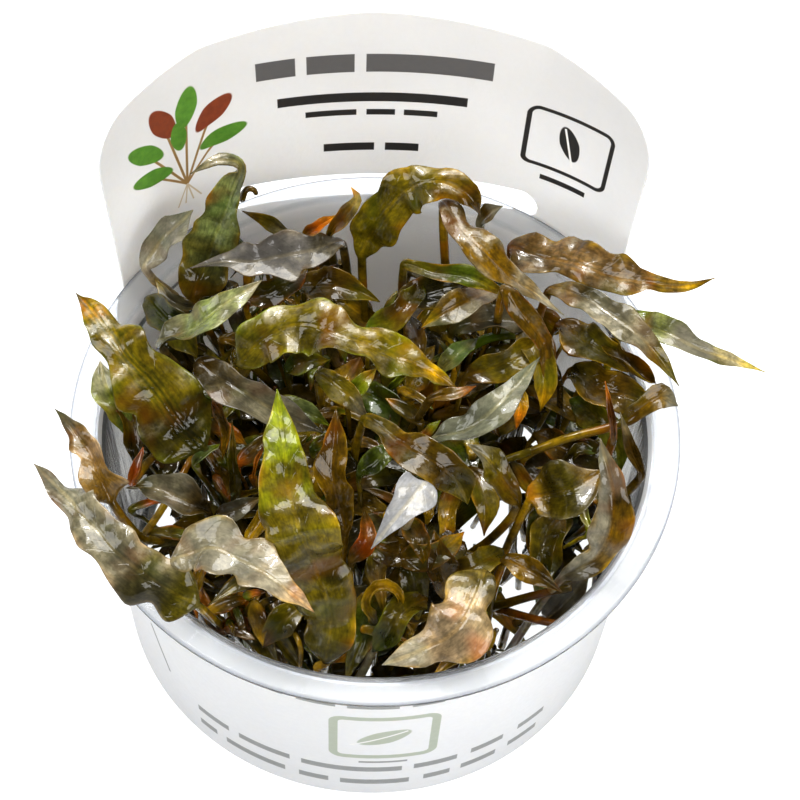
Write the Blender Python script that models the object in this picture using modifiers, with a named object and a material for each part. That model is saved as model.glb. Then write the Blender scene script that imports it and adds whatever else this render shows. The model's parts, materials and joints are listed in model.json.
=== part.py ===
"""Tissue-culture pot of Cryptocoryne wendtii: clear cup, card sleeve, gel, crowns and leaves.

Metres, +Z up. The origin is the middle of the cup's flat underside, and -Y is the front.
"""
from math import atan2, cos, pi, radians, sin, tau

import bmesh
import bpy
from mathutils import Matrix, Vector
from mathutils.geometry import interpolate_bezier

MM = 0.001
GAP = 0.3

# Cup, in millimetres
CUP_HEIGHT = 52.4
FLANGE_RADIUS = 50.5
FLANGE_THICKNESS = 1.0
MOUTH_RADIUS = 46.2
WALL = 0.8
WALL_TOP_RADIUS = 45.6
BASE_RADIUS = 42.2
BEAD_DROP = 1.6
CUP_SIDES = 40

# Card sleeve, in millimetres and degrees clockwise from the back as seen from above
CARD = 0.5
CARD_GAP = 0.5
CARD_FOOT = 1.2
PANEL_LEFT = -60.0
PANEL_RIGHT = 51.0
PANEL_SHOULDER = 89.3
PANEL_TOP = 96.3
PANEL_COLUMNS = 20
FRONT_COLUMNS = 22
SHOULDER_SPREAD = 8.0
SHOULDER_DROP = 8.0
PANEL_LEAN = 0.10
PANEL_PINCH = 3.4
PINCH_SPREAD = 31.0
CARD_FLARE = 14.0
FLARE_FOOT = 20.0
FLARE_RISE = 30.0
SLOT_LEFT = -30.0
SLOT_RIGHT = 25.5
SLOT_BOTTOM = CUP_HEIGHT - FLANGE_THICKNESS - 0.6
SLOT_TOP = CUP_HEIGHT + 4.3
SLOT_DEPTH = 40.0

# Gel and crowns, in millimetres
GEL_FLOOR = WALL + GAP
GEL_TOP = 8.0
CROWN_RADIUS = 3.0
CROWN_HEIGHT = 6.0
COLLAR_RADIUS = 4.4
STALK_FOOT = GEL_TOP + 2.0
STALK_RISE = 7.0

# The photographer's view of the plant: a long lens in front of the cup, looking down at it
VIEW_ELEVATION = radians(59.12)
VIEW_ROLL = radians(3.27)
VIEW_DISTANCE = 498.7
VIEW_TARGET = Vector((3.74, 5.42, CUP_HEIGHT))
VIEW_LENS = 3000.0
VIEW_CENTRE = 400.0

# Leaves, in millimetres
STALK_RADIUS = 0.75
BLADE_HALF = 0.30
TIP_HALF = 0.12
WAVES = 2.5
FULL_WAVE_WIDTH = 3.0
RING = 8
RING_SPACING = 7.6
LEAST_CUTS = 3
MOST_CUTS = 9
CURVE_STEPS = 12
STALK_CUTS = (0.0, 0.35, 0.7)

# Young leaves, in millimetres: their stalks and blades are four-sided
NECK = 4.5
YOUNG_STALK = 0.5
YOUNG_BASE = (0.75, 0.42)
YOUNG_BLADE = (0.32, 0.28)
BEND_LIFT = 1.5
BLADE_ARCH = 0.85

TINTS = {
    "olive": (0.22, 0.17, 0.02),
    "brown": (0.15, 0.08, 0.015),
    "dark": (0.05, 0.05, 0.012),
    "green": (0.19, 0.26, 0.03),
    "gold": (0.36, 0.22, 0.02),
    "red": (0.30, 0.07, 0.015),
    "mauve": (0.24, 0.17, 0.11),
    "silver": (0.42, 0.41, 0.38),
    "pale": (0.36, 0.40, 0.24),
}

# Crowns: where each plantlet stands on the gel, x and y in millimetres
CROWNS = {
    "crown_west": (-29.0, 2.0),
    "crown_northwest": (-20.0, 22.0),
    "crown_north": (0.0, 27.0),
    "crown_northeast": (20.0, 21.0),
    "crown_east": (30.0, 0.0),
    "crown_southeast": (20.0, -20.0),
    "crown_south": (-2.0, -28.0),
    "crown_southwest": (-22.0, -20.0),
    "crown_middle": (-3.0, 3.0),
}

# Young leaves that each crown has grown: the crown's side that it leaves, where its blade starts
# (turn about the crown in degrees, distance out and height in mm), the blade's heading in degrees,
# length, rise and half width.
YOUNG_LEAVES = {
    "crown_west": [(5, -43, 2.5, 42, -4, 18, -1.9, 2.8),
                   (2, 74, 2.3, 31, 9, 14, 2.9, 2.8),
                   (0, -7, 4.7, 29, 54, 10, 1.7, 2.0)],
    "crown_northwest": [(0, 4, 3.5, 25, 48, 17, -2.4, 2.6),
                        (2, 83, 3.2, 38, 57, 16, 2.3, 2.5),
                        (5, -113, 6.3, 28, -133, 16, 1.4, 2.8)],
    "crown_north": [(2, 89, 3.1, 38, 26, 16, 3.2, 3.3),
                    (0, 61, 7.2, 27, -3, 16, 1.8, 2.7),
                    (4, -153, 8.9, 28, -206, 15, -0.2, 2.6)],
    "crown_northeast": [(1, 18, 6.3, 26, -42, 18, 0.5, 3.0),
                        (6, -54, 9.5, 45, -32, 14, 1.3, 2.8),
                        (3, 125, 7.2, 27, 148, 15, -3.0, 2.6)],
    "crown_east": [(6, -39, 2.3, 34, -100, 19, -2.6, 3.6),
                   (4, -123, 2.7, 32, -82, 18, -2.3, 3.4),
                   (1, 86, 4.0, 34, 33, 11, 2.2, 1.8)],
    "crown_southeast": [(4, -166, 8.8, 35, -156, 18, -1.3, 3.5),
                        (6, -80, 7.4, 33, -134, 14, 3.5, 2.6),
                        (2, 128, 2.8, 41, 191, 11, 3.0, 1.6)],
    "crown_south": [(3, 215, 4.6, 27, 191, 17, -2.6, 2.7),
                    (5, -42, 8.6, 25, -10, 13, -0.6, 2.6),
                    (1, 46, 8.7, 34, 43, 12, -2.4, 2.4)],
    "crown_southwest": [(4, -94, 5.3, 38, -55, 16, -1.1, 3.0),
                        (6, -85, 6.1, 31, -37, 18, -0.5, 2.8)],
    "crown_middle": [(5, -93, 2.1, 43, -166, 14, 0.2, 2.4),
                     (1, 44, 2.3, 29, -31, 9, -1.9, 1.6),
                     (3, 175, 5.2, 42, 160, 10, -1.8, 1.6)],
}

# Leaves: tint, crown, fold in degrees, wave in mm, the stalk's places and the blade's. A place is
# a point of the photograph, across and down, and its height in mm. A blade's places follow its
# midrib from base to tip, each with the blade's left and right half width there in mm.
LEAVES = {
    "leaf_left_long": ("olive", "crown_west", 14, 0.7, [],
                       [(203, 446, 57, 0, 0), (184, 428, 60, 6.6, 6.4), (156, 390, 65, 6.3, 5.6),
                        (120, 348, 68, 3.4, 4), (100, 320, 67, 2.6, 2.9), (76, 293, 63, 0, 0)]),
    "leaf_left_low": ("mauve", "crown_southwest", 12, 0.6, [],
                      [(196, 604, 56, 0, 0), (172, 592, 58, 5, 4.8), (150, 578, 60, 5.5, 4.6),
                       (112, 548, 62, 3.7, 4), (70, 500, 61, 2.7, 3.4), (34, 464, 57, 0, 0)]),
    "leaf_left_curled": ("brown", "crown_west", 30, 0.6, [(145, 540, 48), (124, 520, 56)],
                         [(112, 502, 59, 0, 0), (102, 480, 62, 3.4, 3.2), (90, 455, 64, 3.2, 3.8),
                          (73, 429, 64, 1.2, 1.4), (55, 409, 62, 0, 0)]),
    "leaf_left_pale": ("pale", "crown_west", 10, 0.3, [],
                       [(130, 432, 52, 0, 0), (118, 408, 55, 2.6, 2.2), (106, 386, 57, 3, 2.4),
                        (100, 361, 57, 0, 0)]),
    "leaf_small_orange": ("red", "crown_west", 20, 0.2, [(156, 458, 50)],
                          [(132, 482, 60, 0, 0), (137, 470, 62, 1.4, 1.8), (143, 447, 62, 0, 0)]),
    "leaf_left_boat": ("silver", "crown_southwest", 25, 0.3, [],
                       [(208, 514, 51, 0, 0), (185, 500, 54, 3.2, 4.4), (158, 490, 54, 3, 3),
                        (126, 488, 51, 0, 0)]),
    "leaf_front_grey": ("silver", "crown_southwest", 10, 0.6, [],
                        [(174, 562, 60, 0, 0), (196, 552, 63, 3.5, 3.8), (216, 549, 66, 5.2, 4.2),
                         (252, 566, 68, 4, 4.4), (286, 590, 68, 2.4, 2.4), (314, 612, 63, 0, 0)]),
    "leaf_centre_green": ("green", "crown_south", 12, 0.6, [],
                          [(326, 660, 44, 0, 0), (330, 615, 54, 5.5, 4.6), (316, 570, 62, 7.5, 5),
                           (300, 530, 71, 6.6, 6.2), (288, 488, 73.5, 4.7, 4.6),
                           (283, 440, 76, 3.1, 2.8), (277, 389, 78, 0, 0)]),
    "leaf_centre_brown": ("brown", "crown_south", 16, 0.4, [],
                          [(345, 532, 54, 0, 0), (337, 500, 60, 2.4, 2.6), (333, 472, 65, 3.6, 3.1),
                           (335, 438, 69, 1.8, 1.7), (336, 409, 71, 0, 0)]),
    "leaf_brown_rolled": ("brown", "crown_northwest", 24, 0.4, [],
                          [(200, 362, 62, 0, 0), (222, 378, 63, 3, 4.5), (250, 396, 63, 3.2, 5),
                           (290, 418, 61, 2.4, 2.4), (323, 432, 58, 0, 0)]),
    "leaf_top_long": ("olive", "crown_northwest", 14, 0.7, [(238, 352, 58)],
                      [(240, 364, 66, 0, 0), (262, 340, 71, 3.6, 4.2), (300, 324, 75, 4.6, 4.8),
                       (346, 338, 77, 3.4, 3.4), (400, 358, 74, 3.6, 3.7), (434, 374, 71, 1.8, 1.8),
                       (456, 387, 68, 0, 0)]),
    "leaf_left_green_grey": ("pale", "crown_northwest", 12, 0.4, [],
                             [(160, 345, 58, 0, 0), (178, 336, 62, 3.4, 2.8),
                              (198, 324, 66, 3.2, 4.4), (226, 304, 70, 2.2, 3.2),
                              (262, 280, 72, 0, 0)]),
    "leaf_back_lavender": ("silver", "crown_north", 8, 0.6, [],
                           [(343, 246, 62, 0, 0), (314, 250, 66, 2.8, 2.8), (282, 256, 68, 5, 3.7),
                            (252, 262, 69, 2.6, 3.4), (222, 262, 69, 1.4, 1.7), (190, 268, 67, 0, 0)]),
    "leaf_back_tall": ("olive", "crown_northwest", 10, 0.3, [],
                       [(195, 300, 52, 0, 0), (204, 268, 58, 4.5, 4.6), (218, 230, 66, 4.6, 3.8),
                        (231, 196, 74, 3.4, 1.8), (240, 166, 81, 1.6, 1), (222, 160, 84, 1.6, 1.6),
                        (190, 174, 82, 0, 0)]),
    "leaf_back_silver": ("silver", "crown_west", 12, 0.3, [(206, 396, 29), (182, 305, 48)],
                         [(146, 270, 58, 0, 0), (158, 246, 62, 2.4, 2.8), (175, 228, 65, 2.8, 3.6),
                          (193, 210, 67, 0, 0)]),
    "leaf_small_arch": ("olive", "crown_north", 12, 0.2, [],
                        [(290, 238, 56, 0, 0), (270, 222, 59, 1.6, 1.2), (242, 211, 60, 0, 0)]),
    "leaf_cupped_left": ("olive", "crown_northwest", 20, 0.3, [],
                         [(194, 309, 55, 0, 0), (174, 302, 57, 2.2, 1.8), (155, 279, 58, 0, 0)]),
    "leaf_top_arch": ("gold", "crown_north", 12, 0.7, [],
                      [(362, 258, 62, 0, 0), (378, 224, 70, 3.8, 3.8), (404, 192, 78, 3.6, 4),
                       (440, 182, 82, 3.2, 3.4), (468, 196, 81, 2, 1.6), (481, 217, 77, 0, 0)]),
    "leaf_top_sliver": ("olive", "crown_north", 20, 0.2, [],
                        [(330, 240, 61, 0, 0), (345, 215, 70, 1.4, 1.8), (357, 198, 75, 0.9, 0.9),
                         (351, 187, 77, 0, 0)]),
    "leaf_hanging_grey": ("silver", "crown_northeast", 12, 0.4, [],
                          [(443, 206, 77, 0, 0), (466, 232, 80, 2.9, 2.6), (492, 260, 78, 3.2, 3),
                           (524, 286, 73, 2, 1.8), (564, 315, 66, 0, 0)]),
    "leaf_small_dark": ("dark", "crown_northeast", 12, 0.2, [],
                        [(480, 226, 66, 0, 0), (490, 212, 71, 1.8, 1.4), (503, 206, 73, 0, 0)]),
    "leaf_right_top": ("mauve", "crown_northeast", 14, 0.6, [],
                       [(511, 250, 60, 0, 0), (532, 255, 62, 3.8, 4.2), (562, 260, 65, 4.3, 2.4),
                        (592, 270, 67, 4.5, 2.7), (616, 277, 66, 3.8, 3.4), (646, 283, 64, 2.3, 1.6),
                        (684, 287, 61, 1, 1), (715, 278, 59, 0, 0)]),
    "leaf_right_long": ("silver", "crown_northeast", 12, 0.4, [],
                        [(548, 293, 61, 0, 0), (586, 300, 66, 2.2, 2.6), (620, 321, 68, 2.8, 3),
                         (650, 348, 66, 2.2, 2.2), (679, 386, 60, 0, 0)]),
    "leaf_far_right": ("pale", "crown_east", 12, 0.5, [],
                       [(627, 318, 60, 0, 0), (650, 327, 62, 2.6, 2), (674, 337, 64, 3, 2.3),
                        (700, 349, 63, 1.6, 1.8), (730, 360, 60, 1.3, 1.4), (765, 372, 56, 0, 0)]),
    "leaf_right_cupped": ("olive", "crown_east", 22, 0.3, [],
                          [(606, 345, 58, 0, 0), (624, 360, 61, 2.6, 3.6), (640, 374, 61, 2.6, 3),
                           (656, 384, 58, 0, 0)]),
    "leaf_right_dark": ("dark", "crown_east", 16, 0.3, [(522, 460, 48), (562, 440, 54)],
                        [(620, 424, 56, 0, 0), (640, 410, 59, 1.8, 1.4), (660, 398, 60, 2.6, 2.2),
                         (678, 406, 57, 0, 0)]),
    "leaf_narrow_red": ("red", "crown_east", 20, 0.2, [],
                        [(612, 442, 58, 0, 0), (611, 412, 64, 0.9, 0.9), (605, 381, 68, 0, 0)]),
    "leaf_right_black": ("dark", "crown_east", 16, 0.2, [],
                         [(640, 478, 54, 0, 0), (632, 452, 57, 1.4, 1.4), (620, 412, 60, 0, 0)]),
    "leaf_right_mauve": ("mauve", "crown_southeast", 14, 0.4, [],
                         [(562, 578, 50, 0, 0), (596, 558, 57, 2.2, 2.4), (611, 530, 62, 3.4, 3.2),
                          (613, 492, 67, 2.4, 2.6), (606, 462, 71, 1.3, 1.4), (600, 438, 73, 0, 0)]),
    "leaf_right_round": ("olive", "crown_southeast", 12, 0.3, [],
                         [(530, 500, 55, 0, 0), (548, 494, 57, 4.5, 4.6), (574, 488, 60, 5.2, 5.4),
                          (602, 470, 61, 0, 0)]),
    "leaf_silver_top": ("silver", "crown_middle", 12, 0.3, [],
                        [(434, 441, 66, 0, 0), (464, 430, 71, 2.8, 2.4), (496, 408, 74, 2.6, 3),
                         (518, 384, 74, 1.6, 1.8), (540, 357, 72, 0, 0)]),
    "leaf_silver_hanging": ("silver", "crown_southeast", 12, 0.3, [(458, 566, 34), (492, 538, 43)],
                            [(517, 506, 52, 0, 0), (506, 484, 57, 2.4, 1.8),
                             (490, 462, 61, 2.8, 3), (468, 444, 64, 0, 0)]),
    "leaf_centre_olive": ("mauve", "crown_middle", 12, 0.4, [],
                          [(364, 420, 61, 0, 0), (396, 440, 65, 2, 2.6), (430, 460, 67, 3.2, 4),
                           (456, 480, 63, 3.4, 3), (468, 504, 58, 0, 0)]),
    "leaf_silver_triangle": ("silver", "crown_south", 6, 0.2, [],
                             [(426, 482, 67, 0, 0), (414, 493, 69, 4, 3.9), (397, 515, 68, 2.7, 3),
                              (371, 549, 64, 0, 0)]),
    "leaf_bottom_beige": ("mauve", "crown_southeast", 12, 0.4, [],
                          [(484, 574, 57, 0, 0), (474, 602, 61, 3, 5.5), (456, 630, 61, 5.6, 5.6),
                           (422, 650, 57, 2.8, 3.4), (382, 665, 54, 0, 0)]),
    "leaf_low_brown": ("brown", "crown_south", 14, 0.3, [],
                       [(448, 602, 46, 0, 0), (440, 565, 52, 3, 3), (434, 530, 56, 0, 0)]),
    "leaf_low_dark": ("dark", "crown_south", 14, 0.3, [],
                      [(418, 612, 42, 0, 0), (412, 575, 48, 2.8, 2.8), (405, 545, 52, 0, 0)]),
    "leaf_orange_wavy": ("gold", "crown_southeast", 14, 0.3, [],
                         [(504, 562, 50, 0, 0), (532, 572, 53, 2.4, 2.2), (562, 592, 50, 0, 0)]),
    "leaf_low_right": ("dark", "crown_southeast", 14, 0.3, [],
                       [(546, 618, 34, 0, 0), (566, 602, 39, 3.6, 3.2), (590, 572, 44, 0, 0)]),
    "leaf_bottom_olive": ("olive", "crown_southwest", 14, 0.3, [],
                          [(300, 608, 44, 0, 0), (280, 624, 45, 3, 3), (262, 648, 42, 0, 0)]),
    "leaf_bottom_yellow": ("gold", "crown_south", 14, 0.3, [],
                           [(376, 638, 38, 0, 0), (350, 652, 40, 2.2, 2.2), (333, 663, 38, 0, 0)]),
    "leaf_fan": ("gold", "crown_northeast", 14, 0.3, [],
                 [(498, 292, 61, 0, 0), (476, 298, 64, 2.4, 2.4), (450, 310, 66, 2.8, 2.6),
                  (421, 328, 64, 0, 0)]),
    "leaf_fan_back": ("olive", "crown_north", 14, 0.3, [],
                      [(404, 266, 63, 0, 0), (430, 271, 66, 1.4, 1.6), (470, 278, 67, 2, 1.6),
                       (515, 300, 64, 0, 0)]),
    "leaf_hanging_brown": ("brown", "crown_northeast", 14, 0.3, [],
                           [(503, 290, 70, 0, 0), (526, 318, 67, 2.2, 2.4), (545, 345, 62, 1.6, 1.8),
                            (547, 370, 58, 1.2, 1.2), (548, 396, 54, 0, 0)]),
    "leaf_mid_olive": ("olive", "crown_middle", 14, 0.3, [],
                       [(318, 376, 61, 0, 0), (345, 392, 64, 2.2, 2.6), (368, 418, 60, 0, 0)]),
    "leaf_mid_green": ("green", "crown_middle", 14, 0.3, [],
                       [(282, 402, 55, 0, 0), (306, 412, 57, 2, 2), (330, 426, 55, 0, 0)]),
    "leaf_mid_brown": ("brown", "crown_middle", 14, 0.3, [],
                       [(430, 400, 60, 0, 0), (455, 394, 63, 1.4, 1.2), (476, 386, 62, 0, 0)]),
}


def sight(across, down, height):
    """The point at a height (mm) that shows at a place in the photograph."""
    back = Vector((0, -cos(VIEW_ELEVATION), sin(VIEW_ELEVATION)))
    level = Vector((1, 0, 0))
    rise = Vector((0, sin(VIEW_ELEVATION), cos(VIEW_ELEVATION)))
    right = level * cos(VIEW_ROLL) + rise * sin(VIEW_ROLL)
    up = rise * cos(VIEW_ROLL) - level * sin(VIEW_ROLL)
    eye = VIEW_TARGET + back * VIEW_DISTANCE
    ray = right * (across - VIEW_CENTRE) + up * (VIEW_CENTRE - down) - back * VIEW_LENS
    return eye + ray * ((height - eye.z) / ray.z)


def smooth(value):
    """Ease from 0 to 1 as the value goes from 0 to 1."""
    value = min(1.0, max(0.0, value))
    return value * value * (3 - 2 * value)


def clear_scene():
    for thing in list(bpy.data.objects):
        bpy.data.objects.remove(thing, do_unlink=True)


def new_collection(name):
    collection = bpy.data.collections.new(name)
    bpy.context.scene.collection.children.link(collection)
    return collection


def material(name, colour, roughness, transmission=0.0):
    paint = bpy.data.materials.new(name)
    paint.use_nodes = True
    shader = paint.node_tree.nodes["Principled BSDF"]
    shader.inputs["Base Color"].default_value = (*colour, 1)
    shader.inputs["Roughness"].default_value = roughness
    shader.inputs["Metallic"].default_value = 0.0
    shader.inputs["Transmission Weight"].default_value = transmission
    return paint


def add_object(name, mesh, collection, paint=None):
    thing = bpy.data.objects.new(name, mesh)
    collection.objects.link(thing)
    if paint:
        mesh.materials.append(paint)
    return thing


def add_mesh(name, shape, collection, paint):
    """Turn a bmesh into a smooth-shaded object in metres."""
    bmesh.ops.scale(shape, verts=shape.verts, vec=(MM, MM, MM))
    mesh = bpy.data.meshes.new(name)
    shape.to_mesh(mesh)
    shape.free()
    mesh.shade_smooth()
    return add_object(name, mesh, collection, paint)


def turned(name, profile, sides, collection, paint):
    """Turn a profile, (radius, height) in mm from its inside to its outside, round the Z axis."""
    mesh = bpy.data.meshes.new(name)
    points = [(radius * MM, 0, height * MM) for radius, height in profile]
    mesh.from_pydata(points, [(i, i + 1) for i in range(len(points) - 1)], [])
    thing = add_object(name, mesh, collection, paint)
    turn = thing.modifiers.new("turn", "SCREW")
    turn.steps = sides
    turn.render_steps = sides
    turn.use_merge_vertices = True
    turn.merge_threshold = 0.00001
    turn.use_smooth_shade = True
    return thing


def wall_radius(height):
    """Outer radius of the cup's wall at a height."""
    return BASE_RADIUS + (WALL_TOP_RADIUS - BASE_RADIUS) * height / CUP_HEIGHT


def build_cup(collection):
    """A clear thin-walled cup with a flat flange round its mouth."""
    bead = CUP_HEIGHT - BEAD_DROP
    under = CUP_HEIGHT - FLANGE_THICKNESS
    profile = [
        (0, WALL),
        (BASE_RADIUS - WALL - 1, WALL),
        (wall_radius(WALL + 1) - WALL, WALL + 1),
        (wall_radius(bead) - WALL, bead),
        (MOUTH_RADIUS, CUP_HEIGHT),
        (FLANGE_RADIUS, CUP_HEIGHT),
        (FLANGE_RADIUS, under),
        (wall_radius(under), under),
        (wall_radius(bead - 1), bead - 1),
        (BASE_RADIUS, 0.6),
        (BASE_RADIUS - 0.6, 0),
        (0, 0),
    ]
    paint = material("clear_plastic", (0.92, 0.94, 0.95), 0.08, 0.9)
    turned("cup", profile, CUP_SIDES, collection, paint)


def build_gel(collection):
    """The growing gel on the cup's floor, one disc."""
    floor_radius = BASE_RADIUS - WALL - 1 - GAP
    top_radius = wall_radius(GEL_TOP) - WALL - GAP
    profile = [
        (0, GEL_TOP),
        (top_radius - 0.4, GEL_TOP),
        (top_radius, GEL_TOP - 0.4),
        (floor_radius, GEL_FLOOR),
        (0, GEL_FLOOR),
    ]
    paint = material("gel", (0.85, 0.85, 0.78), 0.15, 0.8)
    turned("growth_gel", profile, CUP_SIDES, collection, paint)


def panel_top(bearing):
    """Height of the sleeve's top edge at a bearing: a low arch with round shoulders."""
    middle = (PANEL_LEFT + PANEL_RIGHT) / 2
    half = (PANEL_RIGHT - PANEL_LEFT) / 2
    away = min(1.0, abs(bearing - middle) / half)
    arch = PANEL_SHOULDER + (PANEL_TOP - PANEL_SHOULDER) * (1 - away ** 1.4)
    corner = max(0.0, away * half - (half - SHOULDER_SPREAD)) / SHOULDER_SPREAD
    return arch - SHOULDER_DROP * (1 - (1 - corner ** 2) ** 0.5)


def card_radius(bearing, height):
    """Inner radius of the card: on the cup's wall below, round or through the flange above."""
    middle = (PANEL_LEFT + PANEL_RIGHT) / 2
    away = abs(bearing - middle)
    half = (PANEL_RIGHT - PANEL_LEFT) / 2
    snug = wall_radius(height) + CARD_GAP
    free = FLANGE_RADIUS + CARD_GAP - PANEL_PINCH * (1 - min(1.0, away / PINCH_SPREAD) ** 2)
    free += PANEL_LEAN * max(0.0, height - CUP_HEIGHT)
    share = smooth((half + CARD_FLARE - away) / CARD_FLARE)
    share *= smooth((height - FLARE_FOOT) / FLARE_RISE)
    return snug + (free - snug) * share


def build_sleeve(collection, cutters):
    """The card sleeve round the cup, which stands up behind the mouth as an arched panel."""
    span = PANEL_RIGHT - PANEL_LEFT
    steps = [2 * i / PANEL_COLUMNS - 1 for i in range(PANEL_COLUMNS + 1)]
    columns = [PANEL_LEFT + span * (2 + step + sin(step * pi / 2)) / 4 for step in steps]
    columns += [PANEL_RIGHT + (360 - span) * (i + 1) / FRONT_COLUMNS for i in range(FRONT_COLUMNS)]
    below = [CARD_FOOT, FLARE_FOOT, 38.0, SLOT_BOTTOM]
    above = [0.0, 0.33, 0.67, 1.0]
    rows = len(below) + len(above)
    shape = bmesh.new()
    bmesh.ops.create_grid(shape, x_segments=len(columns) - 1, y_segments=rows - 1, size=0.5)
    for vert in shape.verts:
        vert.co.x = round((vert.co.x + 0.5) * (len(columns) - 1))
        vert.co.y = round((vert.co.y + 0.5) * (rows - 1))
    front_top = [face for face in shape.faces
                 if max(vert.co.x for vert in face.verts) > PANEL_COLUMNS + 0.5
                 and max(vert.co.y for vert in face.verts) > len(below) - 0.5]
    bmesh.ops.delete(shape, geom=front_top, context="FACES")
    for vert in shape.verts:
        bearing = (columns[round(vert.co.x)] + 180) % 360 - 180
        row = round(vert.co.y)
        if row < len(below):
            height = below[row]
        else:
            foot = CUP_HEIGHT + GAP
            height = foot + (panel_top(bearing) - foot) * above[row - len(below)]
        radius = card_radius(bearing, height)
        vert.co = (radius * sin(radians(bearing)), radius * cos(radians(bearing)), height)
    bmesh.ops.remove_doubles(shape, verts=shape.verts, dist=0.01)
    bmesh.ops.recalc_face_normals(shape, faces=shape.faces)
    sleeve = add_mesh("label_sleeve", shape, collection, material("card", (0.82, 0.82, 0.80), 0.55))
    thick = sleeve.modifiers.new("card", "SOLIDIFY")
    thick.thickness = CARD * MM
    thick.offset = 1
    cut_slot(sleeve, cutters)


def cut_slot(sleeve, cutters):
    """The slot with round ends that the flange's back pokes out through."""
    height = SLOT_TOP - SLOT_BOTTOM
    middle = Vector(((SLOT_LEFT + SLOT_RIGHT) / 2, FLANGE_RADIUS - 10, (SLOT_TOP + SLOT_BOTTOM) / 2))
    size = Matrix.Diagonal((SLOT_RIGHT - SLOT_LEFT, SLOT_DEPTH, height, 1))
    shape = bmesh.new()
    bmesh.ops.create_cube(shape, size=1, matrix=Matrix.Translation(middle) @ size)
    corners = [edge for edge in shape.edges if abs(edge.verts[0].co.y - edge.verts[1].co.y) > 1]
    bmesh.ops.bevel(shape, geom=corners, offset=height / 2 - 0.05, segments=4, profile=0.5,
                    affect="EDGES")
    cutter = add_mesh("slot_cutter", shape, cutters, None)
    cutter.hide_render = True
    cutter.display_type = "WIRE"
    cut = sleeve.modifiers.new("slot", "BOOLEAN")
    cut.operation = "DIFFERENCE"
    cut.object = cutter


def curve_points(points, steps):
    """A smooth curve through some points, as many short steps."""
    run = []
    count = len(points)
    for i in range(count - 1):
        here, there = points[i], points[i + 1]
        before = points[max(i - 1, 0)]
        after = points[min(i + 2, count - 1)]
        span = (there - here).length
        leave = (there - before).normalized() * span / 3
        arrive = (after - here).normalized() * span / 3
        part = interpolate_bezier(here, here + leave, there - arrive, there, steps)
        run += part if i == 0 else part[1:]
    return run


def along(run, fractions):
    """Points and directions at fractions of a run's length."""
    lengths = [0.0]
    for a, b in zip(run, run[1:]):
        lengths.append(lengths[-1] + (b - a).length)
    found = []
    for fraction in fractions:
        target = fraction * lengths[-1]
        i = next((k for k in range(1, len(run)) if lengths[k] >= target - 1e-9), len(run) - 1)
        step = lengths[i] - lengths[i - 1]
        part = (target - lengths[i - 1]) / step if step else 0
        point = run[i - 1].lerp(run[i], part)
        ahead = run[min(i + 1, len(run) - 1)]
        behind = run[max(i - 2, 0)]
        found.append((point, (ahead - behind).normalized()))
    return found


def half_width(parts, widths, part):
    """Half width at a part of the blade's length: a round base, eased between, a pointed tip."""
    if part <= 0 or part >= 1:
        return 0.0
    i = next(k for k in range(1, len(parts)) if parts[k] >= part)
    share = (part - parts[i - 1]) / (parts[i] - parts[i - 1])
    if i == 1:
        return widths[1] * sin(share * pi / 2) ** 0.8
    if i == len(parts) - 1:
        return widths[i - 1] * (1 - share)
    return widths[i - 1] + (widths[i] - widths[i - 1]) * smooth(share)


def leaf_frames(stations):
    """A sideways and a facing direction at each station, turned towards the view."""
    view = Vector((0, -cos(VIEW_ELEVATION), sin(VIEW_ELEVATION)))
    frames = []
    sideways = None
    for point, ahead in reversed(stations):
        fresh = view.cross(ahead)
        if sideways is None:
            sideways = fresh.normalized()
        else:
            kept = (sideways - ahead * sideways.dot(ahead)).normalized()
            trust = smooth((fresh.length - 0.2) / 0.4)
            if fresh.dot(kept) < 0:
                trust = 0.0
            sideways = (kept * (1 - trust) + fresh.normalized() * trust).normalized()
            sideways = (sideways - ahead * sideways.dot(ahead)).normalized()
        frames.append((point, ahead, sideways, ahead.cross(sideways)))
    return frames[::-1]


def leaf_start(name):
    """Where a leaf's stalk leaves its crown: an own place on a collar round it."""
    crown = LEAVES[name][1]
    x, y = CROWNS[crown]
    mates = [other for other in LEAVES if LEAVES[other][1] == crown]
    bearings = {}
    for other in mates:
        first = (LEAVES[other][4] + LEAVES[other][5])[0]
        base = sight(*first[:3])
        bearings[other] = Vector((base.x - x, base.y - y)).angle_signed(Vector((0, 1))) % tau
    order = sorted(mates, key=lambda other: bearings[other])
    shift = sum(bearings[other] - i * tau / len(order) for i, other in enumerate(order))
    turn = shift / len(order) + order.index(name) * tau / len(order)
    out = Vector((-sin(turn), cos(turn), 0))
    foot = Vector((x, y, STALK_FOOT)) + out * COLLAR_RADIUS
    return [foot, foot + out + Vector((0, 0, STALK_RISE))]


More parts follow.
